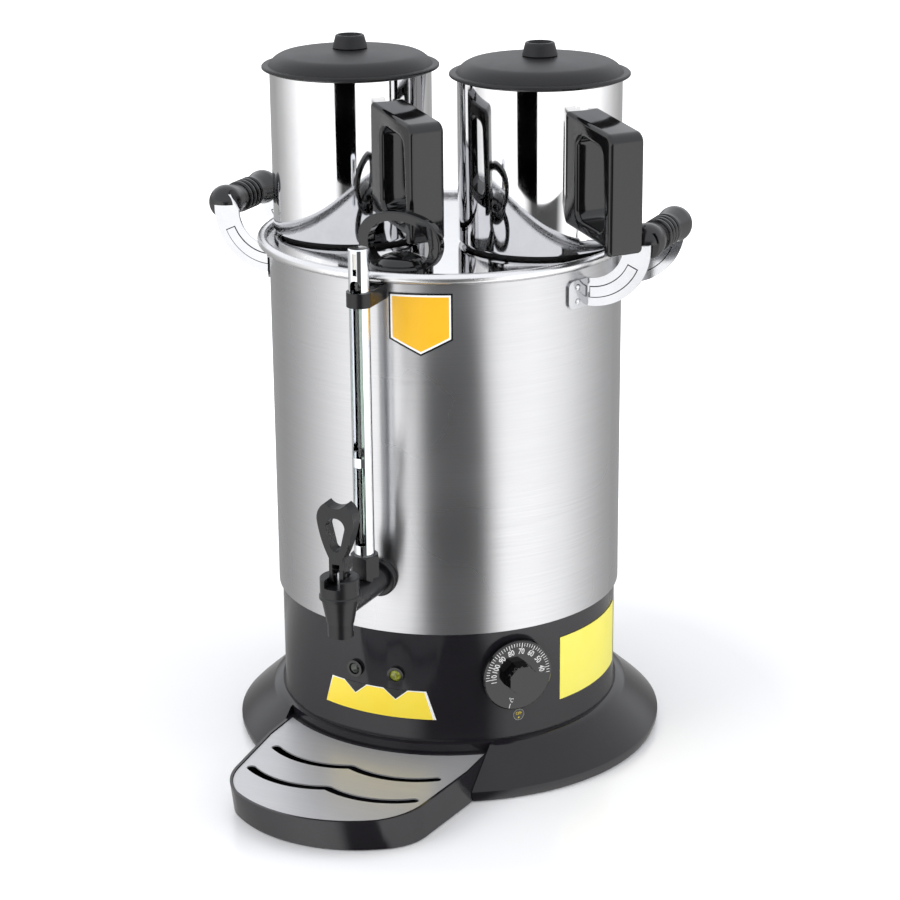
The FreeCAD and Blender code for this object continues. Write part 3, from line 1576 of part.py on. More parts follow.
def pot_handle():
    """Moulded loop: upright outline in the handle's own plane, with a finger opening through it."""
    half = pot_handle_width / 2
    root = pot_radius - handle_edge
    plate = upright_plate([
        (root, handle_root_top_height),
        (handle_reach, handle_outer_top_height),
        (handle_reach, handle_bottom_height),
        (handle_leg_reach, handle_bottom_height),
        (handle_leg_reach, handle_arm_low_height),
        (root, handle_root_low_height),
    ], half)
    across = [edge for edge in plate.Edges if edge.Length > pot_handle_width - seam
              and abs(edge.CenterOfMass.x) < seam and edge.CenterOfMass.y < -handle_leg_reach + seam]
    high = [edge for edge in across if edge.CenterOfMass.z > opening_far_top_height]
    plate = plate.makeFillet(handle_corner, high)
    low = [edge for edge in plate.Edges if edge.Length > pot_handle_width - seam
           and abs(edge.CenterOfMass.x) < seam and edge.CenterOfMass.y < -handle_reach + seam
           and edge.CenterOfMass.z < handle_arm_low_height]
    plate = plate.makeFillet(handle_foot_corner, low)
    hole = upright_plate([
        (opening_near_reach, opening_near_low_height),
        (opening_far_low_reach, opening_far_low_height),
        (opening_far_top_reach, opening_far_top_height),
        (opening_near_reach, opening_near_top_height),
    ], pot_handle_width)
    hole = hole.makeFillet(opening_corner,
                           [edge for edge in hole.Edges if edge.Length > 2 * pot_handle_width - seam
                                            and abs(edge.CenterOfMass.x) < seam])
    handle = plate.cut(hole)
    sides = [edge for edge in handle.Edges if abs(abs(edge.CenterOfMass.x) - half) < seam
             and edge.CenterOfMass.y < -opening_near_reach - handle_edge]
    handle = handle.makeFillet(handle_round, sides)
    handle = handle.cut(disc(pot_radius + seam, handle_bottom_height - seam, handle_root_top_height + seam))
    for turn, height in handle_screw_places():
        handle = handle.cut(radial_hole(handle_screw_radius + seam, turn, height, pot_radius,
                                        pot_radius + handle_screw_depth))
    return handle


def pot_lid():
    """Lid turned from one outline: a dome with a beaded edge, a seat on the rim and a plug."""
    seat = pot_rim_height + lift_gap
    bead_low = pot_lid_edge_height - pot_lid_bead / 2
    bead_top = pot_lid_edge_height + pot_lid_bead / 2
    plug = pot_radius - pot_wall - slide_gap
    thick = pot_lid_wall
    under = pot_lid_crown_height - thick
    straight = [
        (pot_lid_groove_radius, bead_top - seam),
        (pot_lid_radius - bonnet_lip, bead_top),
        (pot_lid_radius, bead_top - bonnet_lip),
        (pot_lid_radius, bead_low + bonnet_lip),
        (pot_lid_radius - bonnet_lip, bead_low),
        (pot_lid_groove_radius + thick, bead_low),
        (pot_lid_groove_radius, seat),
        (plug, seat),
        (plug, seat - pot_lid_plug_depth),
        (plug - pot_lid_plug_wall, seat - pot_lid_plug_depth),
        (plug - pot_lid_plug_wall, bead_top),
    ]
    corners = [Vector(r, 0, z) for r, z in straight]
    edges = [line(first, last) for first, last in zip(corners, corners[1:])]
    inner_dome = Vector(pot_lid_dome_radius - thick / 2, 0, pot_lid_dome_height - thick)
    inner_shoulder = Vector(pot_lid_shoulder_radius - thick, 0, pot_lid_shoulder_height - thick / 2)
    edges.append(arc(corners[-1], inner_shoulder, inner_dome))
    edges.append(line(inner_dome, Vector(knob_base_radius, 0, under)))
    edges.append(line(Vector(knob_base_radius, 0, under), Vector(0, 0, under)))
    edges.append(line(Vector(0, 0, under), Vector(0, 0, pot_lid_crown_height)))
    flat = Vector(knob_base_radius, 0, pot_lid_crown_height)
    edges.append(line(Vector(0, 0, pot_lid_crown_height), flat))
    dome = Vector(pot_lid_dome_radius, 0, pot_lid_dome_height)
    middle = (flat + dome) * 0.5 + Vector(0, 0, pot_lid_bead / 3)
    edges.append(arc(flat, middle, dome))
    shoulder = Vector(pot_lid_shoulder_radius, 0, pot_lid_shoulder_height)
    edges.append(arc(dome, shoulder, corners[0]))
    lid = Part.Face(Part.Wire(edges)).revolve(Vector(0, 0, 0), Vector(0, 0, 1), 360)
    stud = disc(knob_hole_radius - seam, under, pot_lid_crown_height + knob_hole_depth - 2 * seam)
    return lid.fuse(stud).removeSplitter()


def pot_knob():
    base = pot_lid_crown_height + seam
    top = base + knob_height
    dish = knob_top_radius - knob_rim
    knob = turned([
        (0, base),
        (knob_base_radius - bonnet_lip, base),
        (knob_base_radius, base + bonnet_lip),
        (knob_top_radius, top - bonnet_lip),
        (knob_top_radius - bonnet_lip, top),
        (dish, top),
        (dish - bonnet_lip, top - knob_dish),
        (0, top - knob_dish),
    ])
    return knob.cut(disc(knob_hole_radius, base - seam, base + knob_hole_depth))


def pot_handle_screws():
    screws = []
    inner = pot_radius - pot_wall
    for turn, height in handle_screw_places():
        flat = sqrt(inner ** 2 - handle_screw_head_radius ** 2) - seam
        head = radial_hole(handle_screw_head_radius, turn, height, flat - handle_screw_head, flat)
        shank = radial_hole(handle_screw_radius, turn, height, flat - seam,
                            pot_radius + handle_screw_depth - seam)
        screws.append(head.fuse(shank).removeSplitter())
    return Part.makeCompound(screws)


for name, side in (("left", -1), ("right", 1)):
    nodes[name + "_pot_body"] = placed_pot(pot_body(), side)
    nodes[name + "_pot_spout"] = placed_pot(pot_spout(), side)
    nodes[name + "_pot_handle"] = placed_pot(pot_handle(), side)
    nodes[name + "_pot_screws"] = placed_pot(pot_handle_screws(), side)
    nodes[name + "_pot_lid"] = placed_pot(pot_lid(), side)
    nodes[name + "_pot_knob"] = placed_pot(pot_knob(), side)

# Drip tray and its slotted plate


def tray_plan(inset, retreat, height):
    """Outline of the tray at one height: tapering sides, a bowed front, a hollow back."""
    half = tray_half_width - inset
    back = tray_back_radius + inset
    near = sqrt(back ** 2 - half ** 2)
    points = []
    for side in (1, -1):
        heel = Vector(side * half, -near, height)
        taper = Vector(side * half, -tray_taper_reach, height)
        shoulder = Vector(side * (tray_shoulder_half - inset), -tray_shoulder_reach, height)
        diagonal = inset * cos(pi / 4)
        knee = Vector(side * (tray_knee_half - diagonal), -tray_knee_reach + diagonal + retreat / 2, height)
        end = Vector(side * (tray_end_half - diagonal), -tray_end_reach + diagonal + retreat, height)
        points.append((heel, taper, shoulder, knee, end))
    right, left = points
    apex = Vector(0, -tray_front + inset + retreat, height)
    return Part.Wire([
        line(right[0], right[1]),
        line(right[1], right[2]),
        arc(right[2], right[3], right[4]),
        arc(right[4], apex, left[4]),
        arc(left[4], left[3], left[2]),
        line(left[2], left[1]),
        line(left[1], left[0]),
        arc(left[0], Vector(0, -back, height), right[0]),
    ])


def tray_solid(inset, low, high):
    """Space inside the tray's outer surface between two heights, its front sloping as the tray's does."""
    plans = []
    for height in (low, high):
        share = (tray_top_height - height) / (tray_top_height - tray_bottom_height)
        plans.append(tray_plan(inset, tray_retreat * share, height))
    return Part.makeLoft(plans, True, True)


def drip_tray():
    low = tray_bottom_height
    shell = tray_solid(0, low, tray_top_height)
    ledge_top = tray_top_height - grate_recess - grate_thickness - lift_gap
    shell = shell.cut(tray_solid(tray_wall + grate_ledge, low + tray_wall, tray_top_height + seam))
    shell = shell.cut(tray_solid(tray_wall, ledge_top, tray_top_height + seam))
    under = tray_solid(tray_wall, low + tray_wall, ledge_top - grate_ledge)
    return about(shell.cut(under), base_turn)


def drip_grate():
    top = tray_top_height - grate_recess
    plate = tray_solid(tray_wall + slide_gap, top - grate_thickness, top)
    for reach in grate_slot_rows:
        for side in (-1, 1):
            plate = plate.cut(slot_half(reach, side, top - 2 * grate_thickness, top + seam))
    return about(plate, base_turn)


def slot_half(reach, side, low, high):
    """Half of one slot: it arches forward from the middle of the plate and falls back towards its end."""
    inner = Vector(side * grate_slot_gap, -reach, low)
    crest = Vector(side * grate_slot_half * grate_arch_share, -reach - grate_arch, low)
    outer = Vector(side * grate_slot_half, -reach + grate_droop, low)
    band = Part.Wire(arc(inner, crest, outer)).makeOffset2D(grate_slot_width / 2, 0, False, False, False)
    return Part.Face(band).extrude(Vector(0, 0, high - low))


nodes["drip_tray"] = drip_tray()
nodes["drip_grate"] = drip_grate()

# Written out, one file for each piece

os.makedirs("parts", exist_ok=True)
for name, shape in nodes.items():
    shape.exportStep("parts/" + name + ".step")
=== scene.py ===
import bpy
from math import cos, pi, radians, sin
from mathutils import Matrix, Vector


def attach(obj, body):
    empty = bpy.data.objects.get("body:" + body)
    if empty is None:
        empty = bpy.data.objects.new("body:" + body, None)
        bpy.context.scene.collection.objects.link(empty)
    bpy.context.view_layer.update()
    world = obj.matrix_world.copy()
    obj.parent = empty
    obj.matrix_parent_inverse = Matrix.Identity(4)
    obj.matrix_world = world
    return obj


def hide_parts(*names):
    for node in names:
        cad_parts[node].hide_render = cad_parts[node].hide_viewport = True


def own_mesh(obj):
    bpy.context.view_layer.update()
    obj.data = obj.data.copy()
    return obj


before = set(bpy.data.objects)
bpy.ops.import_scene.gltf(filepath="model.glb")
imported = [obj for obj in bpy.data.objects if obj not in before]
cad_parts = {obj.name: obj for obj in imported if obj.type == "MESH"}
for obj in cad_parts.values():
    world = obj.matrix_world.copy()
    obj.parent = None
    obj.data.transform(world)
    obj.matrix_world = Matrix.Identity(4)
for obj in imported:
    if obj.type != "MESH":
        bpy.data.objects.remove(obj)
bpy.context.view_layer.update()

# The photographer's place: a long lens about two metres from the urn's axis, to the right of the tap
# and nearly a metre up, so that the base, the drum and the two teapots all show from a little above.
camera_turn = radians(22.5)
camera_distance = 2.0607
camera_height = 0.9313
camera_pitch = radians(18.328)
camera_yaw = radians(0.0615)
camera_roll = radians(-0.4968)
lens = bpy.data.cameras.new("camera")
lens.lens = 99.15
lens.sensor_width = 36.0
lens.clip_start = 0.1
lens.clip_end = 50.0
camera = bpy.data.objects.new("camera", lens)
bpy.context.collection.objects.link(camera)
camera.matrix_world = (
    Matrix.Rotation(camera_turn, 4, "Z")
    @ Matrix.Translation((0.0, -camera_distance, camera_height))
    @ Matrix.Rotation(-camera_yaw, 4, "Z")
    @ Matrix.Rotation(pi / 2 - camera_pitch, 4, "X")
    @ Matrix.Rotation(camera_roll, 4, "Z")
)
bpy.context.scene.camera = camera
bpy.context.scene.view_settings.view_transform = "Standard"


# The room: white paper all round, two tall soft lights left and right of the camera and an unlit
# gap between them. Round steel shows the gap as a dark upright band with a bright one on each side.
def linear(hex_colour):
    """An sRGB hex colour as the linear colour that a shader wants."""
    channels = [int(hex_colour[i : i + 2], 16) / 255 for i in (1, 3, 5)]
    return [c / 12.92 if c <= 0.04045 else ((c + 0.055) / 1.055) ** 2.4 for c in channels] + [1.0]


def add_node(tree, kind, settings=None, links=None):
    """Adds a shader node, sets its properties and its sockets' values, and links its inputs."""
    node = tree.nodes.new(kind)
    for name, value in (settings or {}).items():
        if isinstance(name, str) and hasattr(node, name):
            setattr(node, name, value)
        else:
            node.inputs[name].default_value = value
    for name, source in (links or {}).items():
        tree.links.new(source, node.inputs[name])
    return node


room = bpy.data.worlds.new("room")
bpy.context.scene.world = room
room.use_nodes = True
tree = room.node_tree
tree.nodes.clear()
room_output = add_node(tree, "ShaderNodeOutputWorld")
gaze = add_node(tree, "ShaderNodeTexCoord").outputs["Generated"]
gap_turn = camera_turn + radians(5.0)
toward_gap = Vector((sin(gap_turn), -cos(gap_turn), 0.0))
level = add_node(tree, "ShaderNodeVectorMath", {"operation": "MULTIPLY", 1: (1.0, 1.0, 0.0)}, {0: gaze})
level = add_node(tree, "ShaderNodeVectorMath", {"operation": "NORMALIZE"}, {0: level.outputs[0]})
toward = add_node(tree, "ShaderNodeVectorMath", {"operation": "DOT_PRODUCT", 1: toward_gap},
                  {0: level.outputs[0]})
toward = add_node(tree, "ShaderNodeMath", {"operation": "MULTIPLY_ADD", 1: 0.5, 2: 0.5},
                  {0: toward.outputs["Value"]})
round_room = add_node(tree, "ShaderNodeValToRGB", links={0: toward.outputs[0]})
# Each pair is how far round from the gap, in degrees, and how bright the room is there.
light_by_turn = ((180, 0.45), (140, 0.48), (118, 0.72), (97, 1.15), (77, 1.65), (55, 1.95), (33, 1.95),
                 (26, 1.2), (18, 0.12), (0, 0.1))
brightest = 1.95
ramp = round_room.color_ramp
ramp.interpolation = "LINEAR"
for index, (turn, light) in enumerate(light_by_turn):
    place = (cos(radians(turn)) + 1.0) / 2.0
    stop = ramp.elements[index] if index < 2 else ramp.elements.new(place)
    stop.position = place
    stop.color = [light / brightest] * 3 + [1.0]
walls = add_node(tree, "ShaderNodeBackground", {"Strength": brightest}, {"Color": round_room.outputs[0]})
ceiling = add_node(tree, "ShaderNodeBackground", {"Color": linear("#f2f4f8"), "Strength": 1.5})
height = add_node(tree, "ShaderNodeSeparateXYZ", links={0: gaze})
overhead = add_node(tree, "ShaderNodeMapRange", {"interpolation_type": "SMOOTHSTEP", 1: 0.03, 2: 0.3},
                    {0: height.outputs[2]})
mirrored_room = add_node(tree, "ShaderNodeMixShader",
                         links={0: overhead.outputs[0], 1: walls.outputs[0], 2: ceiling.outputs[0]})
room_light = add_node(tree, "ShaderNodeBackground", {"Color": linear("#f4f6fa"), "Strength": 0.75})
white_paper = add_node(tree, "ShaderNodeBackground", {"Color": (1.0, 1.0, 1.0, 1.0), "Strength": 1.0})
path = add_node(tree, "ShaderNodeLightPath")
room_or_mirror = add_node(tree, "ShaderNodeMixShader",
                          links={0: path.outputs["Is Glossy Ray"], 1: room_light.outputs[0],
                                 2: mirrored_room.outputs[0]})
seen = add_node(tree, "ShaderNodeMath", {"operation": "MAXIMUM"},
                {0: path.outputs["Is Camera Ray"], 1: path.outputs["Is Transmission Ray"]})
whole_room = add_node(tree, "ShaderNodeMixShader",
                      links={0: seen.outputs[0], 1: room_or_mirror.outputs[0], 2: white_paper.outputs[0]})
tree.links.new(whole_room.outputs[0], room_output.inputs[0])

# Three soft boxes light the plastic and the labels. Each row is a name, metres out, degrees round from
# the camera, metres up, metres wide and watts. Mirror steel doesn't show them, only the room above.
soft_boxes = (("left_soft_light", 1.9, -62.0, 1.5, 1.3, 20.0),
              ("right_soft_light", 2.1, 80.0, 1.2, 1.4, 13.0),
              ("top_soft_light", 0.2, 0.0, 2.2, 1.6, 12.0))
lit_point = Vector((0.0, 0.0, 0.3))
for name, reach, turn, height_up, width, power in soft_boxes:
    lamp = bpy.data.lights.new(name, "AREA")
    lamp.shape = "SQUARE"
    lamp.size = width
    lamp.energy = power
    light = bpy.data.objects.new(name, lamp)
    bpy.context.collection.objects.link(light)
    angle = camera_turn + radians(turn)
    light.location = (reach * sin(angle), -reach * cos(angle), height_up)
    light.rotation_euler = (lit_point - light.location).to_track_quat("-Z", "Y").to_euler()
    light.visible_glossy = False

# A strip of black card between two white ones stands low in front of the teapots, out of the
# camera's sight. It gives their mirror steel its one hard black line. The drum bulges nearer to it
# than the pots do, and what is nearer than card_clear_of looks through it.
card_reach = 0.69
card_clear_of = 0.606
card_low = 0.17
card_high = 0.5
card_half_width = 0.75
strip_left = -0.34
strip_right = 0.018
white_card_glow = 1.8


def deselect():
    """Leaves nothing selected, so that an operator touches only what is added next."""
    if bpy.context.mode != "OBJECT":
        bpy.ops.object.mode_set(mode="OBJECT")
    bpy.ops.object.select_all(action="DESELECT")


def new_material(name):
    """A material with an empty tree, and its output."""
    material = bpy.data.materials.new(name)
    material.use_nodes = True
    material.node_tree.nodes.clear()
    return material, material.node_tree, add_node(material.node_tree, "ShaderNodeOutputMaterial")


for name, left, right, shade, glow_strength in (
    ("left_card", -card_half_width, strip_left, "#ffffff", white_card_glow),
    ("black_card", strip_left, strip_right, "#000000", 0.0),
    ("right_card", strip_right, card_half_width, "#ffffff", white_card_glow),
):
    deselect()
    bpy.ops.mesh.primitive_plane_add(size=1.0)
    card = bpy.context.active_object
    card.name = name
    material, tree, output = new_material(name)
    glow = add_node(tree, "ShaderNodeEmission", {"Color": linear(shade), "Strength": glow_strength})
    path = add_node(tree, "ShaderNodeLightPath")
    far = add_node(tree, "ShaderNodeMath", {"operation": "GREATER_THAN", 1: card_clear_of},
                   {0: path.outputs["Ray Length"]})
    clear = add_node(tree, "ShaderNodeBsdfTransparent")
    shown = add_node(tree, "ShaderNodeMixShader",
                     links={0: far.outputs[0], 1: clear.outputs[0], 2: glow.outputs[0]})
    tree.links.new(shown.outputs[0], output.inputs[0])
    card.data.materials.append(material)
    card.data.transform(
        Matrix.Rotation(camera_turn, 4, "Z")
        @ Matrix.Translation(((left + right) / 2, -card_reach, (card_low + card_high) / 2))
        @ Matrix.Rotation(pi / 2, 4, "X")
        @ Matrix.Diagonal((right - left, card_high - card_low, 1.0, 1.0))
    )
    card.visible_camera = False
    card.visible_diffuse = False
    card.visible_transmission = False
    card.visible_shadow = False

# The table top: pale and faintly glossy. It keeps the urn's soft shadow and turns to white paper away
# from it, while mirror steel looks past it into the white room.
shadow_reach = 0.3
paper_reach = 0.85
deselect()
bpy.ops.mesh.primitive_plane_add(size=12.0, location=(0.0, 0.0, -0.0005))
floor = bpy.context.active_object
floor.name = "floor"
material, tree, output = new_material("white_table_top")
surface = add_node(tree, "ShaderNodeBsdfPrincipled",
                   {"Base Color": linear("#f7f7f8"), "Roughness": 0.22, "Specular IOR Level": 0.35})
place = add_node(tree, "ShaderNodeTexCoord").outputs["Object"]
from_urn = add_node(tree, "ShaderNodeVectorMath", {"operation": "LENGTH"}, {0: place})
whiter = add_node(tree, "ShaderNodeMapRange", {1: shadow_reach, 2: paper_reach, 3: 0.03, 4: 0.8},
                  {0: from_urn.outputs["Value"]})
glow = add_node(tree, "ShaderNodeEmission", {"Color": linear("#ffffff")}, {"Strength": whiter.outputs[0]})
lit = add_node(tree, "ShaderNodeAddShader", links={0: surface.outputs[0], 1: glow.outputs[0]})
clear = add_node(tree, "ShaderNodeBsdfTransparent")
path = add_node(tree, "ShaderNodeLightPath")
table = add_node(tree, "ShaderNodeMixShader",
                 links={0: path.outputs["Is Glossy Ray"], 1: lit.outputs[0], 2: clear.outputs[0]})
tree.links.new(table.outputs[0], output.inputs[0])
floor.data.materials.append(material)


# Base: one shell of injection-moulded ABS, polished in the mould, with a flared skirt under a plain
# round wall. It carries the tank, the dial and the lamps, and is closed below by a pressed cover.
def smooth_twin(node, material, body, angle=38.0):
    """Stands for a CAD node with its corners merged, so that its rounds catch light as moulded ones do."""
    twin = bpy.data.objects.new(node + "_surface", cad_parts[node].data.copy())
    bpy.context.collection.objects.link(twin)
    deselect()
    twin.select_set(True)
    bpy.context.view_layer.objects.active = twin
    bpy.ops.mesh.customdata_custom_splitnormals_clear()
    bpy.ops.object.mode_set(mode="EDIT")
    bpy.ops.mesh.select_all(action="SELECT")
    bpy.ops.mesh.remove_doubles(threshold=0.00001)
    bpy.ops.object.mode_set(mode="OBJECT")
    bpy.ops.object.shade_smooth_by_angle(angle=radians(angle), keep_sharp_edges=False)
    twin.data.materials.clear()
    twin.data.materials.append(material)
    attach(twin, body)
    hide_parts(node)
    return twin


def moulded_plastic(name, shade, cloud_shade, roughness, grain_mm, grain_depth_mm, roughness_spread=0.05,
                    gloss=0.5):
    """Moulded plastic: an even colour with faint flow clouding, and the fine skin that the mould leaves."""
    cloud_mm = 45.0
    material, tree, output = new_material(name)
    place = add_node(tree, "ShaderNodeTexCoord").outputs["Object"]
    flow = add_node(tree, "ShaderNodeTexNoise",
                    {"Scale": 1000.0 / cloud_mm, "Detail": 4.0, "Roughness": 0.55}, {"Vector": place})
    skin = add_node(tree, "ShaderNodeTexNoise",
                    {"Scale": 1000.0 / grain_mm, "Detail": 2.0, "Roughness": 0.5}, {"Vector": place})
    colour = add_node(tree, "ShaderNodeMix",
                      {"data_type": "RGBA", 6: linear(shade), 7: linear(cloud_shade)},
                      {0: flow.outputs["Fac"]})
    polish = add_node(tree, "ShaderNodeMapRange",
                      {1: 0.3, 2: 0.7, 3: roughness, 4: roughness + roughness_spread},
                      {0: flow.outputs["Fac"]})
    relief = add_node(tree, "ShaderNodeBump", {"Strength": 0.25, "Distance": grain_depth_mm / 1000.0},
                      {"Height": skin.outputs["Fac"]})
    plastic = add_node(tree, "ShaderNodeBsdfPrincipled", {"IOR": 1.5, "Specular IOR Level": gloss},
                       {"Base Color": colour.outputs[2], "Roughness": polish.outputs[0],
                        "Normal": relief.outputs[0]})
    tree.links.new(plastic.outputs[0], output.inputs[0])
    return material


# Charcoal ABS with a violet cast. Its polish shows the room as long soft streaks down the wall.
polished_abs = moulded_plastic("polished_moulded_abs", "#1b191d", "#211f23", 0.1, 6.0, 0.02, 0.04, 0.31)
base_shell = smooth_twin("base_housing", polished_abs, "urn")


# Bottom cover: a pressed plate of zinc-plated steel, screwed up into the shell. The plating gives it and
# its screws a spangled, cloudy grey.
def wear(material, *names):
    """Gives CAD nodes this finish in every slot."""
    for name in names:
        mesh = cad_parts[name].data
        if not mesh.materials:
            mesh.materials.append(material)
        for index in range(len(mesh.materials)):
            mesh.materials[index] = material


def plain_metal(name, shade, spot_shade, roughness, spot_mm):
    """Metal left as it was pressed, plated or turned: a soft mottle in its colour and its shine."""
    material, tree, output = new_material(name)
    place = add_node(tree, "ShaderNodeTexCoord").outputs["Object"]
    mottle = add_node(tree, "ShaderNodeTexNoise",
                      {"Scale": 1000.0 / spot_mm, "Detail": 5.0, "Roughness": 0.6}, {"Vector": place})
    colour = add_node(tree, "ShaderNodeMix", {"data_type": "RGBA", 6: linear(shade), 7: linear(spot_shade)},
                      {0: mottle.outputs["Fac"]})
    shine = add_node(tree, "ShaderNodeMapRange", {1: 0.3, 2: 0.7, 3: roughness, 4: roughness + 0.14},
                     {0: mottle.outputs["Fac"]})
    relief = add_node(tree, "ShaderNodeBump", {"Strength": 0.1, "Distance": 0.0001},
                      {"Height": mottle.outputs["Fac"]})
    metal = add_node(tree, "ShaderNodeBsdfPrincipled", {"Metallic": 1.0},
                     {"Base Color": colour.outputs[2], "Roughness": shine.outputs[0],
                      "Normal": relief.outputs[0]})
    tree.links.new(metal.outputs[0], output.inputs[0])
    return material


zinc_plate = plain_metal("zinc_plated_steel", "#a9abb0", "#8e9197", 0.3, 9.0)
wear(zinc_plate, "bottom_cover", "bottom_screws")

# Feet: moulded rubber discs pressed into the base's underside. The rubber is black, dull and slightly
# dusty, and the tap's washer and the pots' seats are made of it too.
moulded_rubber = moulded_plastic("moulded_rubber", "#1b1b1c", "#252526", 0.6, 0.9, 0.08)
wear(moulded_rubber, "rubber_feet")

# Cord gland: turned up tight on the wall at the back with a nut inside. It is moulded nylon, and the
# mould's spark-eroded walls leave it a satin skin.
satin_nylon = moulded_plastic("satin_moulded_nylon", "#252527", "#2c2c2e", 0.34, 0.8, 0.05)
wear(satin_nylon, "cable_gland")


# Thermostat dial: a disc of phenolic moulding with a raised eight-sided grip, pushed onto the spindle.
# The mould's polish is a mirror in black. Its scale is pad-printed in white paint, from 40 to 110
# degrees, and the unit and its line below point out the setting.
gloss_phenolic = moulded_plastic("gloss_phenolic_moulding", "#0a0a0b", "#101011", 0.06, 4.0, 0.01, 0.03)
wear(gloss_phenolic, "thermostat_knob")
dial_azimuth = radians(44.8)
dial_middle_z = 0.0947
dial_face_reach = 0.1518
scale_start = radians(8.0)
lowest_number = 40
number_count = 8
radians_per_number = radians(24.6)
tick_outer = 0.0293
long_tick = 0.0046
short_tick = 0.0031
tick_width = 0.00052
ticks_per_number = 5
print_thickness = 0.00012
number_reach = 0.0217
number_height = 0.0050
pointer_angle = radians(-106.0)
pointer_length = 0.0042
pointer_reach = 0.0276
unit_height = 0.0036
unit_turn = radians(-18.0)
unit_place = (0.0005, -0.0225, 0.0)


def facing_place(azimuth, reach, z):
    """Turns what is drawn flat, seen from above, to stand on the urn's side and face outwards."""
    outwards = Vector((sin(azimuth), -cos(azimuth), 0.0))
    rightwards = Vector((cos(azimuth), sin(azimuth), 0.0))
    turn = Matrix((rightwards, Vector((0.0, 0.0, 1.0)), outwards)).transposed().to_4x4()
    return Matrix.Translation(outwards * reach + Vector((0.0, 0.0, z))) @ turn


def on_dial(angle, reach):
    """Turns what is drawn upright at the dial's middle and moves it out along its own radius."""
    return Matrix.Rotation(angle - pi / 2, 4, "Z") @ Matrix.Translation((0.0, reach, 0.0))


def printed_paint(name, shade, thin_shade, roughness=0.45):
    """Pad-printed paint: opaque and matt, a little thinner and darker in patches."""
    patch_mm = 1.6
    material, tree, output = new_material(name)
    place = add_node(tree, "ShaderNodeTexCoord").outputs["Object"]
    cover = add_node(tree, "ShaderNodeTexNoise", {"Scale": 1000.0 / patch_mm, "Detail": 3.0},
                     {"Vector": place})
    colour = add_node(tree, "ShaderNodeMix", {"data_type": "RGBA", 6: linear(shade), 7: linear(thin_shade)},
                      {0: cover.outputs["Fac"]})
    paint = add_node(tree, "ShaderNodeBsdfPrincipled", {"Roughness": roughness, "IOR": 1.5},
                     {"Base Color": colour.outputs[2]})
    tree.links.new(paint.outputs[0], output.inputs[0])
    return material


def printed_bar(length, width):
    """A bar of paint lying along Y, centred, with its corners rounded off as paint pulls them."""
    deselect()
    bpy.ops.mesh.primitive_cube_add(size=1.0)
    bar = bpy.context.active_object
    bar.data.transform(Matrix.Translation((0.0, 0.0, print_thickness / 2))
                       @ Matrix.Diagonal((width, length, print_thickness, 1.0)))
    bpy.ops.object.mode_set(mode="EDIT")
    bpy.ops.mesh.select_all(action="SELECT")
    bpy.ops.mesh.bevel(offset=print_thickness * 0.3, segments=2)
    bpy.ops.object.mode_set(mode="OBJECT")
    return bar


def printed_word(word, height, thickness=print_thickness):
    """Lettering as a thin plate of paint, centred on the origin and lying flat."""
    size_for_height = 1.4
    stroke_growth = 0.018
    narrowing = 0.82
    deselect()
    bpy.ops.object.text_add()
    text = bpy.context.active_object
    text.data.body = word
    text.data.size = height * size_for_height
    text.data.align_x = "CENTER"
    text.data.align_y = "CENTER"
    text.data.extrude = thickness / 2
    text.data.offset = height * stroke_growth
    text.data.resolution_u = 4
    bpy.ops.object.convert(target="MESH")
    text = bpy.context.active_object
    text.data.transform(Matrix.Translation((0.0, 0.0, thickness / 2))
                        @ Matrix.Scale(narrowing, 4, (1.0, 0.0, 0.0)))
    return text


def finish_print(piece, name, paint, body):
    """Names a printed piece, gives it its paint and fixes it to what it is printed on."""
    piece.name = name
    piece.data.materials.clear()
    piece.data.materials.append(paint)
    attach(piece, body)


first_long = printed_bar(long_tick, tick_width * 1.25)
first_short = printed_bar(short_tick, tick_width)
scale_parts = []
for step in range(-2, ticks_per_number * (number_count - 1) + 1):
    is_long = step % ticks_per_number == 0
    first, length = (first_long, long_tick) if is_long else (first_short, short_tick)
    tick = bpy.data.objects.new("tick", first.data.copy())
    bpy.context.collection.objects.link(tick)
    tick.data.transform(on_dial(scale_start + step / ticks_per_number * radians_per_number,
                                tick_outer - length / 2))
    scale_parts.append(tick)
bpy.data.objects.remove(first_long)
bpy.data.objects.remove(first_short)
for index in range(number_count):
    number = printed_word(str(lowest_number + 10 * index), number_height)
    number.data.transform(on_dial(scale_start + index * radians_per_number, number_reach))
    scale_parts.append(number)
pointer = printed_bar(pointer_length, tick_width * 1.2)
pointer.data.transform(on_dial(pointer_angle, pointer_reach))
unit = printed_word("°C", unit_height)
unit.data.transform(Matrix.Rotation(unit_turn, 4, "Z") @ Matrix.Translation(unit_place))
deselect()
for part in scale_parts + [pointer, unit]:
    part.select_set(True)
bpy.context.view_layer.objects.active = scale_parts[0]
bpy.ops.object.join()
dial_scale = bpy.context.active_object
dial_scale.data.transform(facing_place(dial_azimuth, dial_face_reach, dial_middle_z))
finish_print(dial_scale, "dial_scale", printed_paint("white_pad_print", "#f4f4f2", "#d9d9d6"),
             "thermostat_knob")

# Stop mark: a round spot of gloss black paint below the dial, with a fine ring, OFF and a dot in yellow.
# It is printed on the wall and bends with it, so it is laid on the wall's own surface.
mark_radius = 0.0052
mark_place = facing_place(radians(45.9), 0.1475, 0.0565)


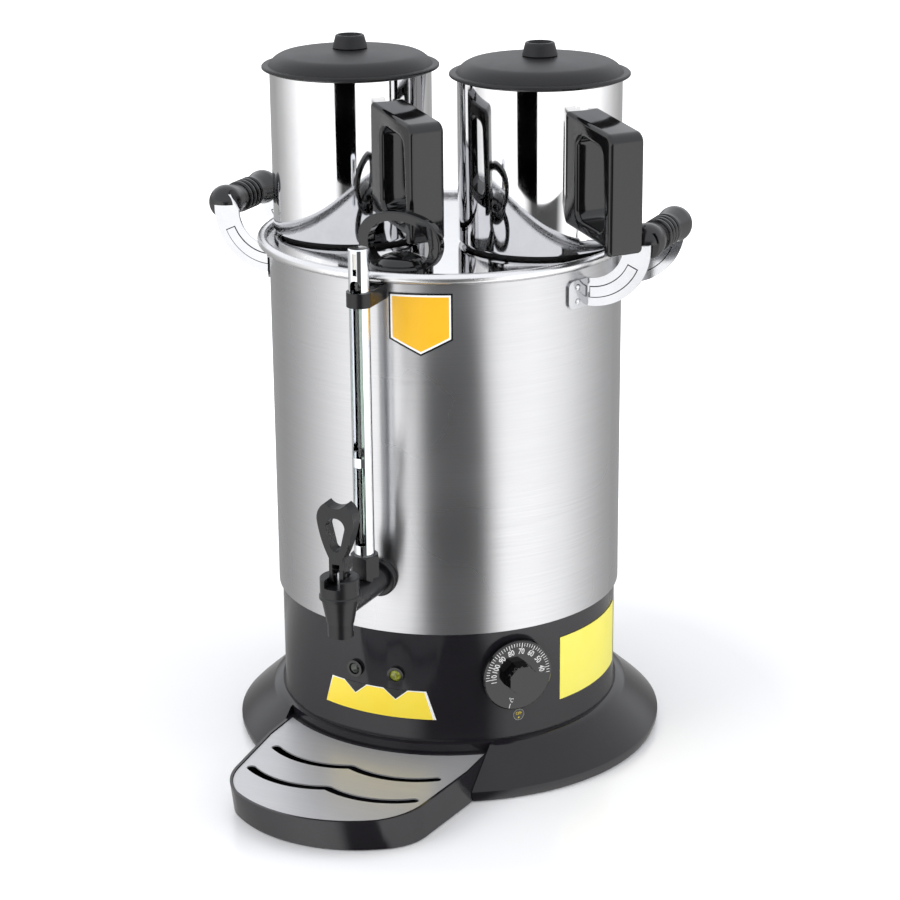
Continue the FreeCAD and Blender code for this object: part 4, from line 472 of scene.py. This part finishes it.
def laid_on(piece, carrier, lift_mm):
    """Bends flat print onto what carries it, a hair proud of the surface, and gives it its thickness."""
    deselect()
    piece.select_set(True)
    bpy.context.view_layer.objects.active = piece
    wrap = piece.modifiers.new("wrap", "SHRINKWRAP")
    wrap.target = carrier
    wrap.wrap_method = "NEAREST_SURFACEPOINT"
    wrap.wrap_mode = "ABOVE_SURFACE"
    wrap.offset = lift_mm / 1000.0
    bpy.ops.object.modifier_apply(modifier="wrap")
    coat = piece.modifiers.new("coat", "SOLIDIFY")
    coat.thickness = print_thickness / 2
    coat.offset = 1.0
    bpy.ops.object.modifier_apply(modifier="coat")


def printed_spot(radius, ring_width=0.0):
    """A round spot of paint lying flat, or only a ring of it."""
    deselect()
    bpy.ops.mesh.primitive_circle_add(vertices=48, radius=radius, fill_type="NGON")
    spot = bpy.context.active_object
    bpy.ops.object.mode_set(mode="EDIT")
    bpy.ops.mesh.select_all(action="SELECT")
    bpy.ops.mesh.inset(thickness=ring_width or radius * 0.3)
    if ring_width:
        bpy.ops.mesh.delete(type="FACE")
    else:
        bpy.ops.mesh.inset(thickness=radius * 0.35)
    bpy.ops.object.mode_set(mode="OBJECT")
    return spot


yellow_print = printed_paint("yellow_pad_print", "#f0d23c", "#d9b92e")
black_print = printed_paint("black_pad_print", "#0e0e0f", "#171718", 0.18)
silver_print = printed_paint("silver_pad_print", "#b9b9ad", "#8f8f86")
# Each row is a name, a flat piece, metres up from the mark's middle, millimetres proud, and a paint.
for name, piece, up, lift_mm, paint in (
    ("off_spot", printed_spot(mark_radius), 0.0, 0.05, black_print),
    ("off_ring", printed_spot(mark_radius * 0.97, 0.00032), 0.0, 0.13, silver_print),
    ("off_word", printed_word("OFF", 0.0027, 0.0), 0.0010, 0.13, yellow_print),
    ("off_dot", printed_spot(0.00075), -0.0027, 0.13, yellow_print),
):
    piece.data.transform(mark_place @ Matrix.Translation((0.0, up, 0.0)))
    laid_on(piece, base_shell, lift_mm)
    finish_print(piece, name, paint, "urn")


# Pilot lamps: gloss black bezels pushed through the wall, each round a domed lens of tinted acrylic.
# Acrylic is glass-clear with a wet shine. The left lens is dark, and the right one glows through its tint.
def tinted_acrylic(name, tint, tint_between_glints, glow_strength):
    """Polished tinted plastic: clear gloss over its tint, with a painted glint at the middle of each small
    facet, darker between them.
    """
    glint_facet_mm = 1.8
    material, tree, output = new_material(name)
    place = add_node(tree, "ShaderNodeTexCoord").outputs["Object"]
    # Painted glints: the tint is lighter at the middle of each small facet and darker towards its edges.
    glint_facets = add_node(tree, "ShaderNodeTexVoronoi", {"Scale": 1000.0 / glint_facet_mm, "Randomness": 0.6},
                      {"Vector": place})
    colour = add_node(tree, "ShaderNodeMix", {"data_type": "RGBA", 6: linear(tint), 7: linear(tint_between_glints)},
                      {0: glint_facets.outputs["Distance"]})
    lens_body = add_node(tree, "ShaderNodeBsdfPrincipled",
                         {"Roughness": 0.06, "IOR": 1.49, "Coat Weight": 0.5, "Coat Roughness": 0.03,
                          "Emission Strength": glow_strength},
                         {"Base Color": colour.outputs[2], "Emission Color": colour.outputs[2]})
    tree.links.new(lens_body.outputs[0], output.inputs[0])
    return material


wear(gloss_phenolic, "lamp_bezels")
wear(tinted_acrylic("tinted_acrylic_dark", "#1f2614", "#0b0e08", 0.0), "lamp_lens_on")
wear(tinted_acrylic("tinted_acrylic_lit", "#8d9118", "#2c3006", 0.35), "lamp_lens_heat")


# Labels: printed polyester film with an adhesive back, rolled down onto the plastic wall. Its ink is
# even and its face satin. The one below the lamps has a white edge, and two black arrowheads that point
# to a lamp each.
def printed_film(name, ground, ground_light, roughness):
    """Printed film: its coloured ground, with the ink's faint unevenness and the film's slight ripple."""
    cloud_mm = 22.0
    material, tree, output = new_material(name)
    place = add_node(tree, "ShaderNodeTexCoord").outputs["Object"]
    ink = add_node(tree, "ShaderNodeTexNoise", {"Scale": 1000.0 / cloud_mm, "Detail": 3.0},
                   {"Vector": place})
    colour = add_node(tree, "ShaderNodeMix",
                      {"data_type": "RGBA", 6: linear(ground), 7: linear(ground_light)},
                      {0: ink.outputs["Fac"]})
    ripple = add_node(tree, "ShaderNodeBump", {"Strength": 0.15, "Distance": 0.0001},
                      {"Height": ink.outputs["Fac"]})
    film = add_node(tree, "ShaderNodeBsdfPrincipled", {"Roughness": roughness, "IOR": 1.5},
                    {"Base Color": colour.outputs[2], "Normal": ripple.outputs[0]})
    tree.links.new(film.outputs[0], output.inputs[0])
    return material, tree, place, colour.outputs[2], film


def place_on_wall(tree, place, middle=None):
    """Where a point is on the wall: degrees round from the tap and millimetres up. With a middle given,
    the first is degrees to either side of it."""
    from_axis = add_node(tree, "ShaderNodeVectorMath", {"operation": "MULTIPLY", 1: (1.0, -1.0, 1000.0)},
                         {0: place})
    parts = add_node(tree, "ShaderNodeSeparateXYZ", links={0: from_axis.outputs[0]})
    turn = add_node(tree, "ShaderNodeMath", {"operation": "ARCTAN2"},
                    {0: parts.outputs[0], 1: parts.outputs[1]})
    turn = add_node(tree, "ShaderNodeMath", {"operation": "DEGREES"}, {0: turn.outputs[0]})
    if middle is not None:
        turn = add_node(tree, "ShaderNodeMath", {"operation": "SUBTRACT", 1: middle}, {0: turn.outputs[0]})
        turn = add_node(tree, "ShaderNodeMath", {"operation": "ABSOLUTE"}, {0: turn.outputs[0]})
    return add_node(tree, "ShaderNodeCombineXYZ", links={0: turn.outputs[0], 1: parts.outputs[2]}).outputs[0]


def overprint(tree, below, hex_colour, spot, slope, start):
    """Prints one more colour past a straight line, where a spot's place along slope is beyond start."""
    along = add_node(tree, "ShaderNodeVectorMath", {"operation": "DOT_PRODUCT", 1: slope}, {0: spot})
    past = add_node(tree, "ShaderNodeMath", {"operation": "GREATER_THAN", 1: start},
                    {0: along.outputs["Value"]})
    layer = add_node(tree, "ShaderNodeMix", {"data_type": "RGBA", 7: linear(hex_colour)},
                     {0: past.outputs[0], 6: below})
    return layer.outputs[2]


panel_top = 83.0
panel_top_left, panel_top_right = -20.3, 14.6
left_slant, right_slant = 3.7 / 25.5, 2.9 / 25.5
white_edge_degrees = 0.5
white_edge_low = 82.2
arrow_half_degrees = 4.3
arrow_height = 9.2
arrow_edge_degrees = 0.35
panel_white = "#f6f6f2"
panel_film, tree, place, colour, film = printed_film("printed_polyester_panel", "#ffdf30", "#ffe64e", 0.34)
spot = place_on_wall(tree, place)
for slope, start in (
    ((1.0, right_slant, 0.0), panel_top_right + panel_top * right_slant - white_edge_degrees),
    ((-1.0, left_slant, 0.0), -panel_top_left + panel_top * left_slant - white_edge_degrees),
    ((0.0, 1.0, 0.0), white_edge_low),
):
    colour = overprint(tree, colour, panel_white, spot, slope, start)
arrow_slope = (-1.0 / arrow_half_degrees, 1.0 / arrow_height, 0.0)
for middle, tip_height in ((-10.4, 73.5), (4.4, 74.0)):
    beside_arrow = place_on_wall(tree, place, middle)
    tip = tip_height / arrow_height
    colour = overprint(tree, colour, panel_white, beside_arrow, arrow_slope,
                       tip - arrow_edge_degrees / arrow_half_degrees)
    colour = overprint(tree, colour, "#161617", beside_arrow, arrow_slope, tip)
tree.links.new(colour, film.inputs["Base Color"])
wear(panel_film, "panel_label")
wear(printed_film("printed_polyester_side", "#f4e94e", "#f8ef6c", 0.34)[0], "side_label")


# Tank: stainless sheet rolled into a drum and belt-ground while it turned, so its grain runs level.
# The grain keeps the room's upright bands sharp from side to side and smears them up and down. Real
# lines are 0.1 mm apart, and they are drawn coarser to be seen.
grain_mm = 1.3
grain_per_metre_round = 14.0
haze_mm = 130.0
ground_roughness = 0.27
belt_ground_steel, tree, output = new_material("belt_ground_stainless")
place = add_node(tree, "ShaderNodeTexCoord").outputs["Object"]
stretched = add_node(tree, "ShaderNodeMapping",
                     {"Scale": (grain_per_metre_round, grain_per_metre_round, 1000.0 / grain_mm)},
                     {"Vector": place})
lines = add_node(tree, "ShaderNodeTexNoise", {"Scale": 1.0, "Detail": 4.0, "Roughness": 0.65},
                 {"Vector": stretched.outputs[0]})
haze = add_node(tree, "ShaderNodeTexNoise", {"Scale": 1000.0 / haze_mm, "Detail": 2.0}, {"Vector": place})
colour = add_node(tree, "ShaderNodeMix",
                  {"data_type": "RGBA", 6: linear("#c2c2c3"), 7: linear("#b2b2b4")},
                  {0: lines.outputs["Fac"]})
rough = add_node(tree, "ShaderNodeMapRange",
                 {"interpolation_type": "SMOOTHSTEP", 1: 0.15, 2: 0.85, 3: ground_roughness - 0.03,
                  4: ground_roughness + 0.05}, {0: haze.outputs["Fac"]})
relief = add_node(tree, "ShaderNodeBump", {"Strength": 0.12, "Distance": 0.00012},
                  {"Height": lines.outputs["Fac"]})
level_grain = add_node(tree, "ShaderNodeTangent", {"direction_type": "RADIAL", "axis": "Z"})
steel = add_node(tree, "ShaderNodeBsdfPrincipled",
                 {"Metallic": 1.0, "Anisotropic": 0.75, "Anisotropic Rotation": 0.25},
                 {"Base Color": colour.outputs[2], "Roughness": rough.outputs[0],
                  "Normal": relief.outputs[0], "Tangent": level_grain.outputs[0]})
tree.links.new(steel.outputs[0], output.inputs[0])
wear(belt_ground_steel, "tank")

# Badge: a shield of thin enamelled plate stuck to the drum, orange-yellow inside a white line, with a
# black line round its edge. Enamel keeps a glassy shine. It is left bare.
badge_middle = 14.6
badge_half_degrees = 9.9
badge_top = 429.5
badge_point = 377.6
point_rise = 13.4
point_lean = 0.888
mm_per_degree = 151.0 * pi / 180.0
badge_film, tree, place, colour, film = printed_film("enamelled_badge_plate", "#f0b414", "#f3bd22", 0.2)
spot = place_on_wall(tree, place, badge_middle)
badge_edges = (
    ((mm_per_degree, 0.0, 0.0), badge_half_degrees * mm_per_degree),
    ((0.0, 1.0, 0.0), badge_top),
    ((point_rise / badge_half_degrees * point_lean, -point_lean, 0.0), -badge_point * point_lean),
)
for shade, line_mm in (("#f7f7f5", 3.0), ("#131314", 1.5)):
    for slope, edge in badge_edges:
        colour = overprint(tree, colour, shade, spot, slope, edge - line_mm)
tree.links.new(colour, film.inputs["Base Color"])
wear(badge_film, "badge")

# Inside: the floor plate, the heater's tube and the bulb are bright rolled steel, cloudy from rolling.
# The heater's nuts are turned brass, and the thermostat, the cut-out and the terminal block are pressed
# phenolic, brown-black and dull.
bright_steel = plain_metal("bright_rolled_steel", "#c9cacc", "#b4b6b9", 0.24, 14.0)
turned_brass = plain_metal("turned_brass", "#c8a24a", "#ad8635", 0.26, 5.0)
pressed_phenolic = moulded_plastic("pressed_phenolic", "#2a1d17", "#33241d", 0.4, 1.1, 0.08)
wear(bright_steel, "tank_floor", "heating_element", "thermostat_bulb")
wear(turned_brass, "element_nuts")
wear(pressed_phenolic, "thermostat_body", "dry_boil_cutout", "terminal_block")


# Lid: one pressed sheet over the tank. Its deck is mirror-polished and shows the pots upside down, while
# the rolled rim and the flange that sits on the drum are left ground. Rubber rings on it carry the pots.
def mirror_steel(name, shade, veil_shade, roughness, wave_mm, wave_depth_mm):
    """Buffed stainless: a clean mirror, faintly wavy where the sheet was drawn, with a thin polishing
    veil."""
    veil_mm = 30.0
    material, tree, output = new_material(name)
    place = add_node(tree, "ShaderNodeTexCoord").outputs["Object"]
    waves = add_node(tree, "ShaderNodeTexNoise",
                     {"Scale": 1000.0 / wave_mm, "Detail": 1.0, "Roughness": 0.4}, {"Vector": place})
    veil = add_node(tree, "ShaderNodeTexNoise",
                    {"Scale": 1000.0 / veil_mm, "Detail": 6.0, "Roughness": 0.7}, {"Vector": place})
    colour = add_node(tree, "ShaderNodeMix", {"data_type": "RGBA", 6: linear(shade), 7: linear(veil_shade)},
                      {0: veil.outputs["Fac"]})
    polish = add_node(tree, "ShaderNodeMapRange", {1: 0.35, 2: 0.75, 3: roughness, 4: roughness + 0.05},
                      {0: veil.outputs["Fac"]})
    relief = add_node(tree, "ShaderNodeBump", {"Strength": 0.3, "Distance": wave_depth_mm / 1000.0},
                      {"Height": waves.outputs["Fac"]})
    steel = add_node(tree, "ShaderNodeBsdfPrincipled", {"Metallic": 1.0},
                     {"Base Color": colour.outputs[2], "Roughness": polish.outputs[0],
                      "Normal": relief.outputs[0]})
    tree.links.new(steel.outputs[0], output.inputs[0])
    return material, tree, place, colour.outputs[2], polish.outputs[0], steel


deck_radius = 0.1445
rim_roughness = 0.22
lid_steel, tree, place, colour, polish, steel = mirror_steel(
    "polished_lid_ground_rim", "#dcdcdd", "#cfcfd0", 0.04, 70.0, 0.05)
across = add_node(tree, "ShaderNodeVectorMath", {"operation": "MULTIPLY", 1: (1.0, 1.0, 0.0)}, {0: place})
from_axis = add_node(tree, "ShaderNodeVectorMath", {"operation": "LENGTH"}, {0: across.outputs[0]})
on_rim = add_node(tree, "ShaderNodeMapRange",
                  {1: deck_radius, 2: deck_radius + 0.0015, 3: 0.0, 4: rim_roughness},
                  {0: from_axis.outputs["Value"]})
rough = add_node(tree, "ShaderNodeMath", {"operation": "ADD"}, {0: polish, 1: on_rim.outputs[0]})
tree.links.new(rough.outputs[0], steel.inputs["Roughness"])
smooth_twin("tank_lid", lid_steel, "lid", 40.0)
wear(moulded_rubber, "pot_seat_rings")

# Filler: a spun steel neck in the lid, closed by a phenolic plug. The cap is a plug, a waisted skirt and
# a horseshoe grip in one polished moulding. The ring under its skirt is silicone, milky and satin.
drawn_steel = mirror_steel("buffed_drawn_steel", "#e2e2e3", "#d2d2d4", 0.035, 60.0, 0.05)[0]
moulded_silicone = moulded_plastic("moulded_silicone", "#d8d5cd", "#cbc8bf", 0.5, 0.9, 0.05)
wear(drawn_steel, "filler_neck")
smooth_twin("filler_cap", gloss_phenolic, "filler_cap", 42.0)
wear(moulded_silicone, "cap_gasket")


# Teapots: deep-drawn bodies, buffed to a mirror outside and over the welded spout. The handles are
# D-shaped phenolic mouldings on two screws each, and their rounded edges catch long bright lines.
for side in ("left", "right"):
    smooth_twin(side + "_pot_body", drawn_steel, side + "_pot", 35.0)
    smooth_twin(side + "_pot_spout", drawn_steel, side + "_pot", 40.0)
    smooth_twin(side + "_pot_handle", gloss_phenolic, side + "_pot", 40.0)
    wear(bright_steel, side + "_pot_screws")

# Pot lids: compression-moulded phenolic covers with a bead round the edge, a groove and a dome, and a
# dished knob on a stud. Years of steam have left both duller and greyer than the handles.
steamed_phenolic = moulded_plastic("steamed_phenolic_lid", "#161618", "#1d1d1f", 0.4, 2.4, 0.03, 0.06, 0.3)
for side in ("left", "right"):
    smooth_twin(side + "_pot_lid", steamed_phenolic, side + "_pot_lid", 40.0)
    smooth_twin(side + "_pot_knob", steamed_phenolic, side + "_pot_lid", 40.0)


# Carrying handles: bent straps of buffed strip, riveted to the drum, with a moulded ribbed grip between
# them. Buffing leaves the strip a soft mirror. A long pad is embossed in each strap, and the shade in the
# crease round its edge is painted on as a thin dark line: two arcs about the strap's bend, closed by a
# straight line at each end.
bend_middle = (148.0, 0.0, 457.0)
pad_radius = 40.25
pad_half_width = 4.5
pad_crease_shade_half_mm = 0.42
pad_end_slope = radians(24.0)
strap_turn = radians(1.8)
strap_steel, tree, place, colour, polish, steel = mirror_steel(
    "buffed_steel_strip", "#c6c7c9", "#b5b6b9", 0.1, 25.0, 0.04)
in_mm = add_node(tree, "ShaderNodeMapping",
                 {"Rotation": (0.0, 0.0, strap_turn), "Scale": (1000.0, 1000.0, 1000.0)}, {"Vector": place})
one_side = add_node(tree, "ShaderNodeVectorMath", {"operation": "ABSOLUTE"}, {0: in_mm.outputs[0]})
from_bend = add_node(tree, "ShaderNodeVectorMath", {"operation": "SUBTRACT", 1: bend_middle},
                     {0: one_side.outputs[0]})
from_bend = add_node(tree, "ShaderNodeVectorMath", {"operation": "MULTIPLY", 1: (1.0, 0.0, 1.0)},
                     {0: from_bend.outputs[0]})
radius = add_node(tree, "ShaderNodeVectorMath", {"operation": "LENGTH"}, {0: from_bend.outputs[0]})
off_middle = add_node(tree, "ShaderNodeMath", {"operation": "SUBTRACT", 1: pad_radius},
                      {0: radius.outputs["Value"]})
off_middle = add_node(tree, "ShaderNodeMath", {"operation": "ABSOLUTE"}, {0: off_middle.outputs[0]})
off_pad = add_node(tree, "ShaderNodeMath", {"operation": "SUBTRACT", 1: pad_half_width},
                   {0: off_middle.outputs[0]})
for end_slope in ((sin(pad_end_slope), 0.0, cos(pad_end_slope)), (-1.0, 0.0, 0.0)):
    past_end = add_node(tree, "ShaderNodeVectorMath", {"operation": "DOT_PRODUCT", 1: end_slope},
                        {0: from_bend.outputs[0]})
    off_pad = add_node(tree, "ShaderNodeMath", {"operation": "MAXIMUM"},
                       {0: off_pad.outputs[0], 1: past_end.outputs["Value"]})
# Painted shade: the strap is darkened in a thin line where the shade of the pad's edge crease falls.
in_crease_shade = add_node(tree, "ShaderNodeMath", {"operation": "COMPARE", 1: 0.0, 2: pad_crease_shade_half_mm},
                   {0: off_pad.outputs[0]})
crease_shaded = add_node(tree, "ShaderNodeMix", {"data_type": "RGBA", 7: linear("#2b2b2d")},
                 {0: in_crease_shade.outputs[0], 6: colour})
tree.links.new(crease_shaded.outputs[2], steel.inputs["Base Color"])
buffed_rivet_steel = plain_metal("buffed_rivet_steel", "#d2d3d5", "#bfc1c4", 0.14, 6.0)
grip_plastic = moulded_plastic("ribbed_grip_moulding", "#101012", "#18181a", 0.16, 1.2, 0.02)
for side in ("left", "right"):
    wear(strap_steel, side + "_handle_straps")
    smooth_twin(side + "_handle_grip", grip_plastic, "urn", 38.0)
wear(bright_steel, "handle_rods")
wear(buffed_rivet_steel, "handle_rivets")


# Tap: moulded nylon with the satin skin of a spark-eroded mould. The body screws through the drum with a
# rubber washer and a brass nut, the bonnet closes it, and the lever lifts the stem off its silicone seat.
tap_nylon = moulded_plastic("spark_eroded_nylon", "#111113", "#19191b", 0.25, 0.7, 0.04, 0.05, 0.34)
smooth_twin("tap_body", tap_nylon, "urn", 36.0)
smooth_twin("tap_bonnet", tap_nylon, "urn", 36.0)
smooth_twin("tap_lever", tap_nylon, "tap_lever", 36.0)
wear(moulded_rubber, "tap_washer")
wear(turned_brass, "tap_lock_nut")
wear(bright_steel, "tap_stem", "lever_pin")
wear(moulded_silicone, "seat_cup")

# Tap spring: four coils of bright wire under the bonnet. Its top stays against the bonnet while the
# stem's collar rises, so it shortens by the stem's 4 mm lift when the lever is pulled.
tap_spring = smooth_twin("tap_spring", bright_steel, "urn", 60.0)
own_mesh(tap_spring)

# Sight gauge: a boiling-glass tube standing in a silicone seal at each end, behind a chromed brass guard
# whose open slots show the water. A nylon nut seats it on the tap, and a nylon clamp holds its top. Drawn
# glass is clear, with a faint green in the thickness of its wall and fine lines along it.
drawing_line_mm = 1.5
boiling_glass, tree, output = new_material("boiling_glass")
place = add_node(tree, "ShaderNodeTexCoord").outputs["Object"]
along = add_node(tree, "ShaderNodeMapping",
                 {"Scale": (1000.0 / drawing_line_mm, 1000.0 / drawing_line_mm, 4.0)}, {"Vector": place})
drawn = add_node(tree, "ShaderNodeTexNoise", {"Scale": 1.0, "Detail": 2.0}, {"Vector": along.outputs[0]})
relief = add_node(tree, "ShaderNodeBump", {"Strength": 0.1, "Distance": 0.00005},
                  {"Height": drawn.outputs["Fac"]})
glass = add_node(tree, "ShaderNodeBsdfPrincipled",
                 {"Base Color": linear("#eef4f0"), "Transmission Weight": 1.0, "IOR": 1.47,
                  "Roughness": 0.02}, {"Normal": relief.outputs[0]})
tree.links.new(glass.outputs[0], output.inputs[0])
wear(boiling_glass, "gauge_glass")
wear(moulded_silicone, "gauge_seals")
wear(bright_steel, "gauge_clamp_screw")
chromed_brass = mirror_steel("chromed_brass", "#eef0f2", "#e2e4e7", 0.03, 40.0, 0.03)[0]
smooth_twin("gauge_guard", chromed_brass, "urn", 40.0)
smooth_twin("gauge_seat_nut", tap_nylon, "urn", 36.0)
smooth_twin("gauge_clamp", tap_nylon, "urn", 36.0)


# Drip tray: a shallow moulded box in a recess of the base's flange, and a stainless plate lying in it
# with two rows of arched slots. The plate is ground and then brushed from side to side, which scatters
# light so much that it looks pale and flat, so it is only half metallic here. Its lines are drawn coarse.
brush_mm = 0.9
brush_per_metre_along = 12.0
plate_roughness = 0.34
brushed_plate, tree, output = new_material("brushed_tray_plate")
place = add_node(tree, "ShaderNodeTexCoord").outputs["Object"]
stretched = add_node(tree, "ShaderNodeMapping",
                     {"Scale": (brush_per_metre_along, 1000.0 / brush_mm, 1000.0 / brush_mm)},
                     {"Vector": place})
lines = add_node(tree, "ShaderNodeTexNoise", {"Scale": 1.0, "Detail": 4.0, "Roughness": 0.6},
                 {"Vector": stretched.outputs[0]})
colour = add_node(tree, "ShaderNodeMix",
                  {"data_type": "RGBA", 6: linear("#c8c8ca"), 7: linear("#b6b6b9")},
                  {0: lines.outputs["Fac"]})
relief = add_node(tree, "ShaderNodeBump", {"Strength": 0.12, "Distance": 0.0001},
                  {"Height": lines.outputs["Fac"]})
rough = add_node(tree, "ShaderNodeMapRange", {1: 0.3, 2: 0.7, 3: plate_roughness, 4: plate_roughness + 0.06},
                 {0: lines.outputs["Fac"]})
steel = add_node(tree, "ShaderNodeBsdfPrincipled", {"Metallic": 0.5},
                 {"Base Color": colour.outputs[2], "Roughness": rough.outputs[0],
                  "Normal": relief.outputs[0]})
tree.links.new(steel.outputs[0], output.inputs[0])
smooth_twin("drip_tray", polished_abs, "drip_tray", 38.0)
wear(brushed_plate, "drip_grate")
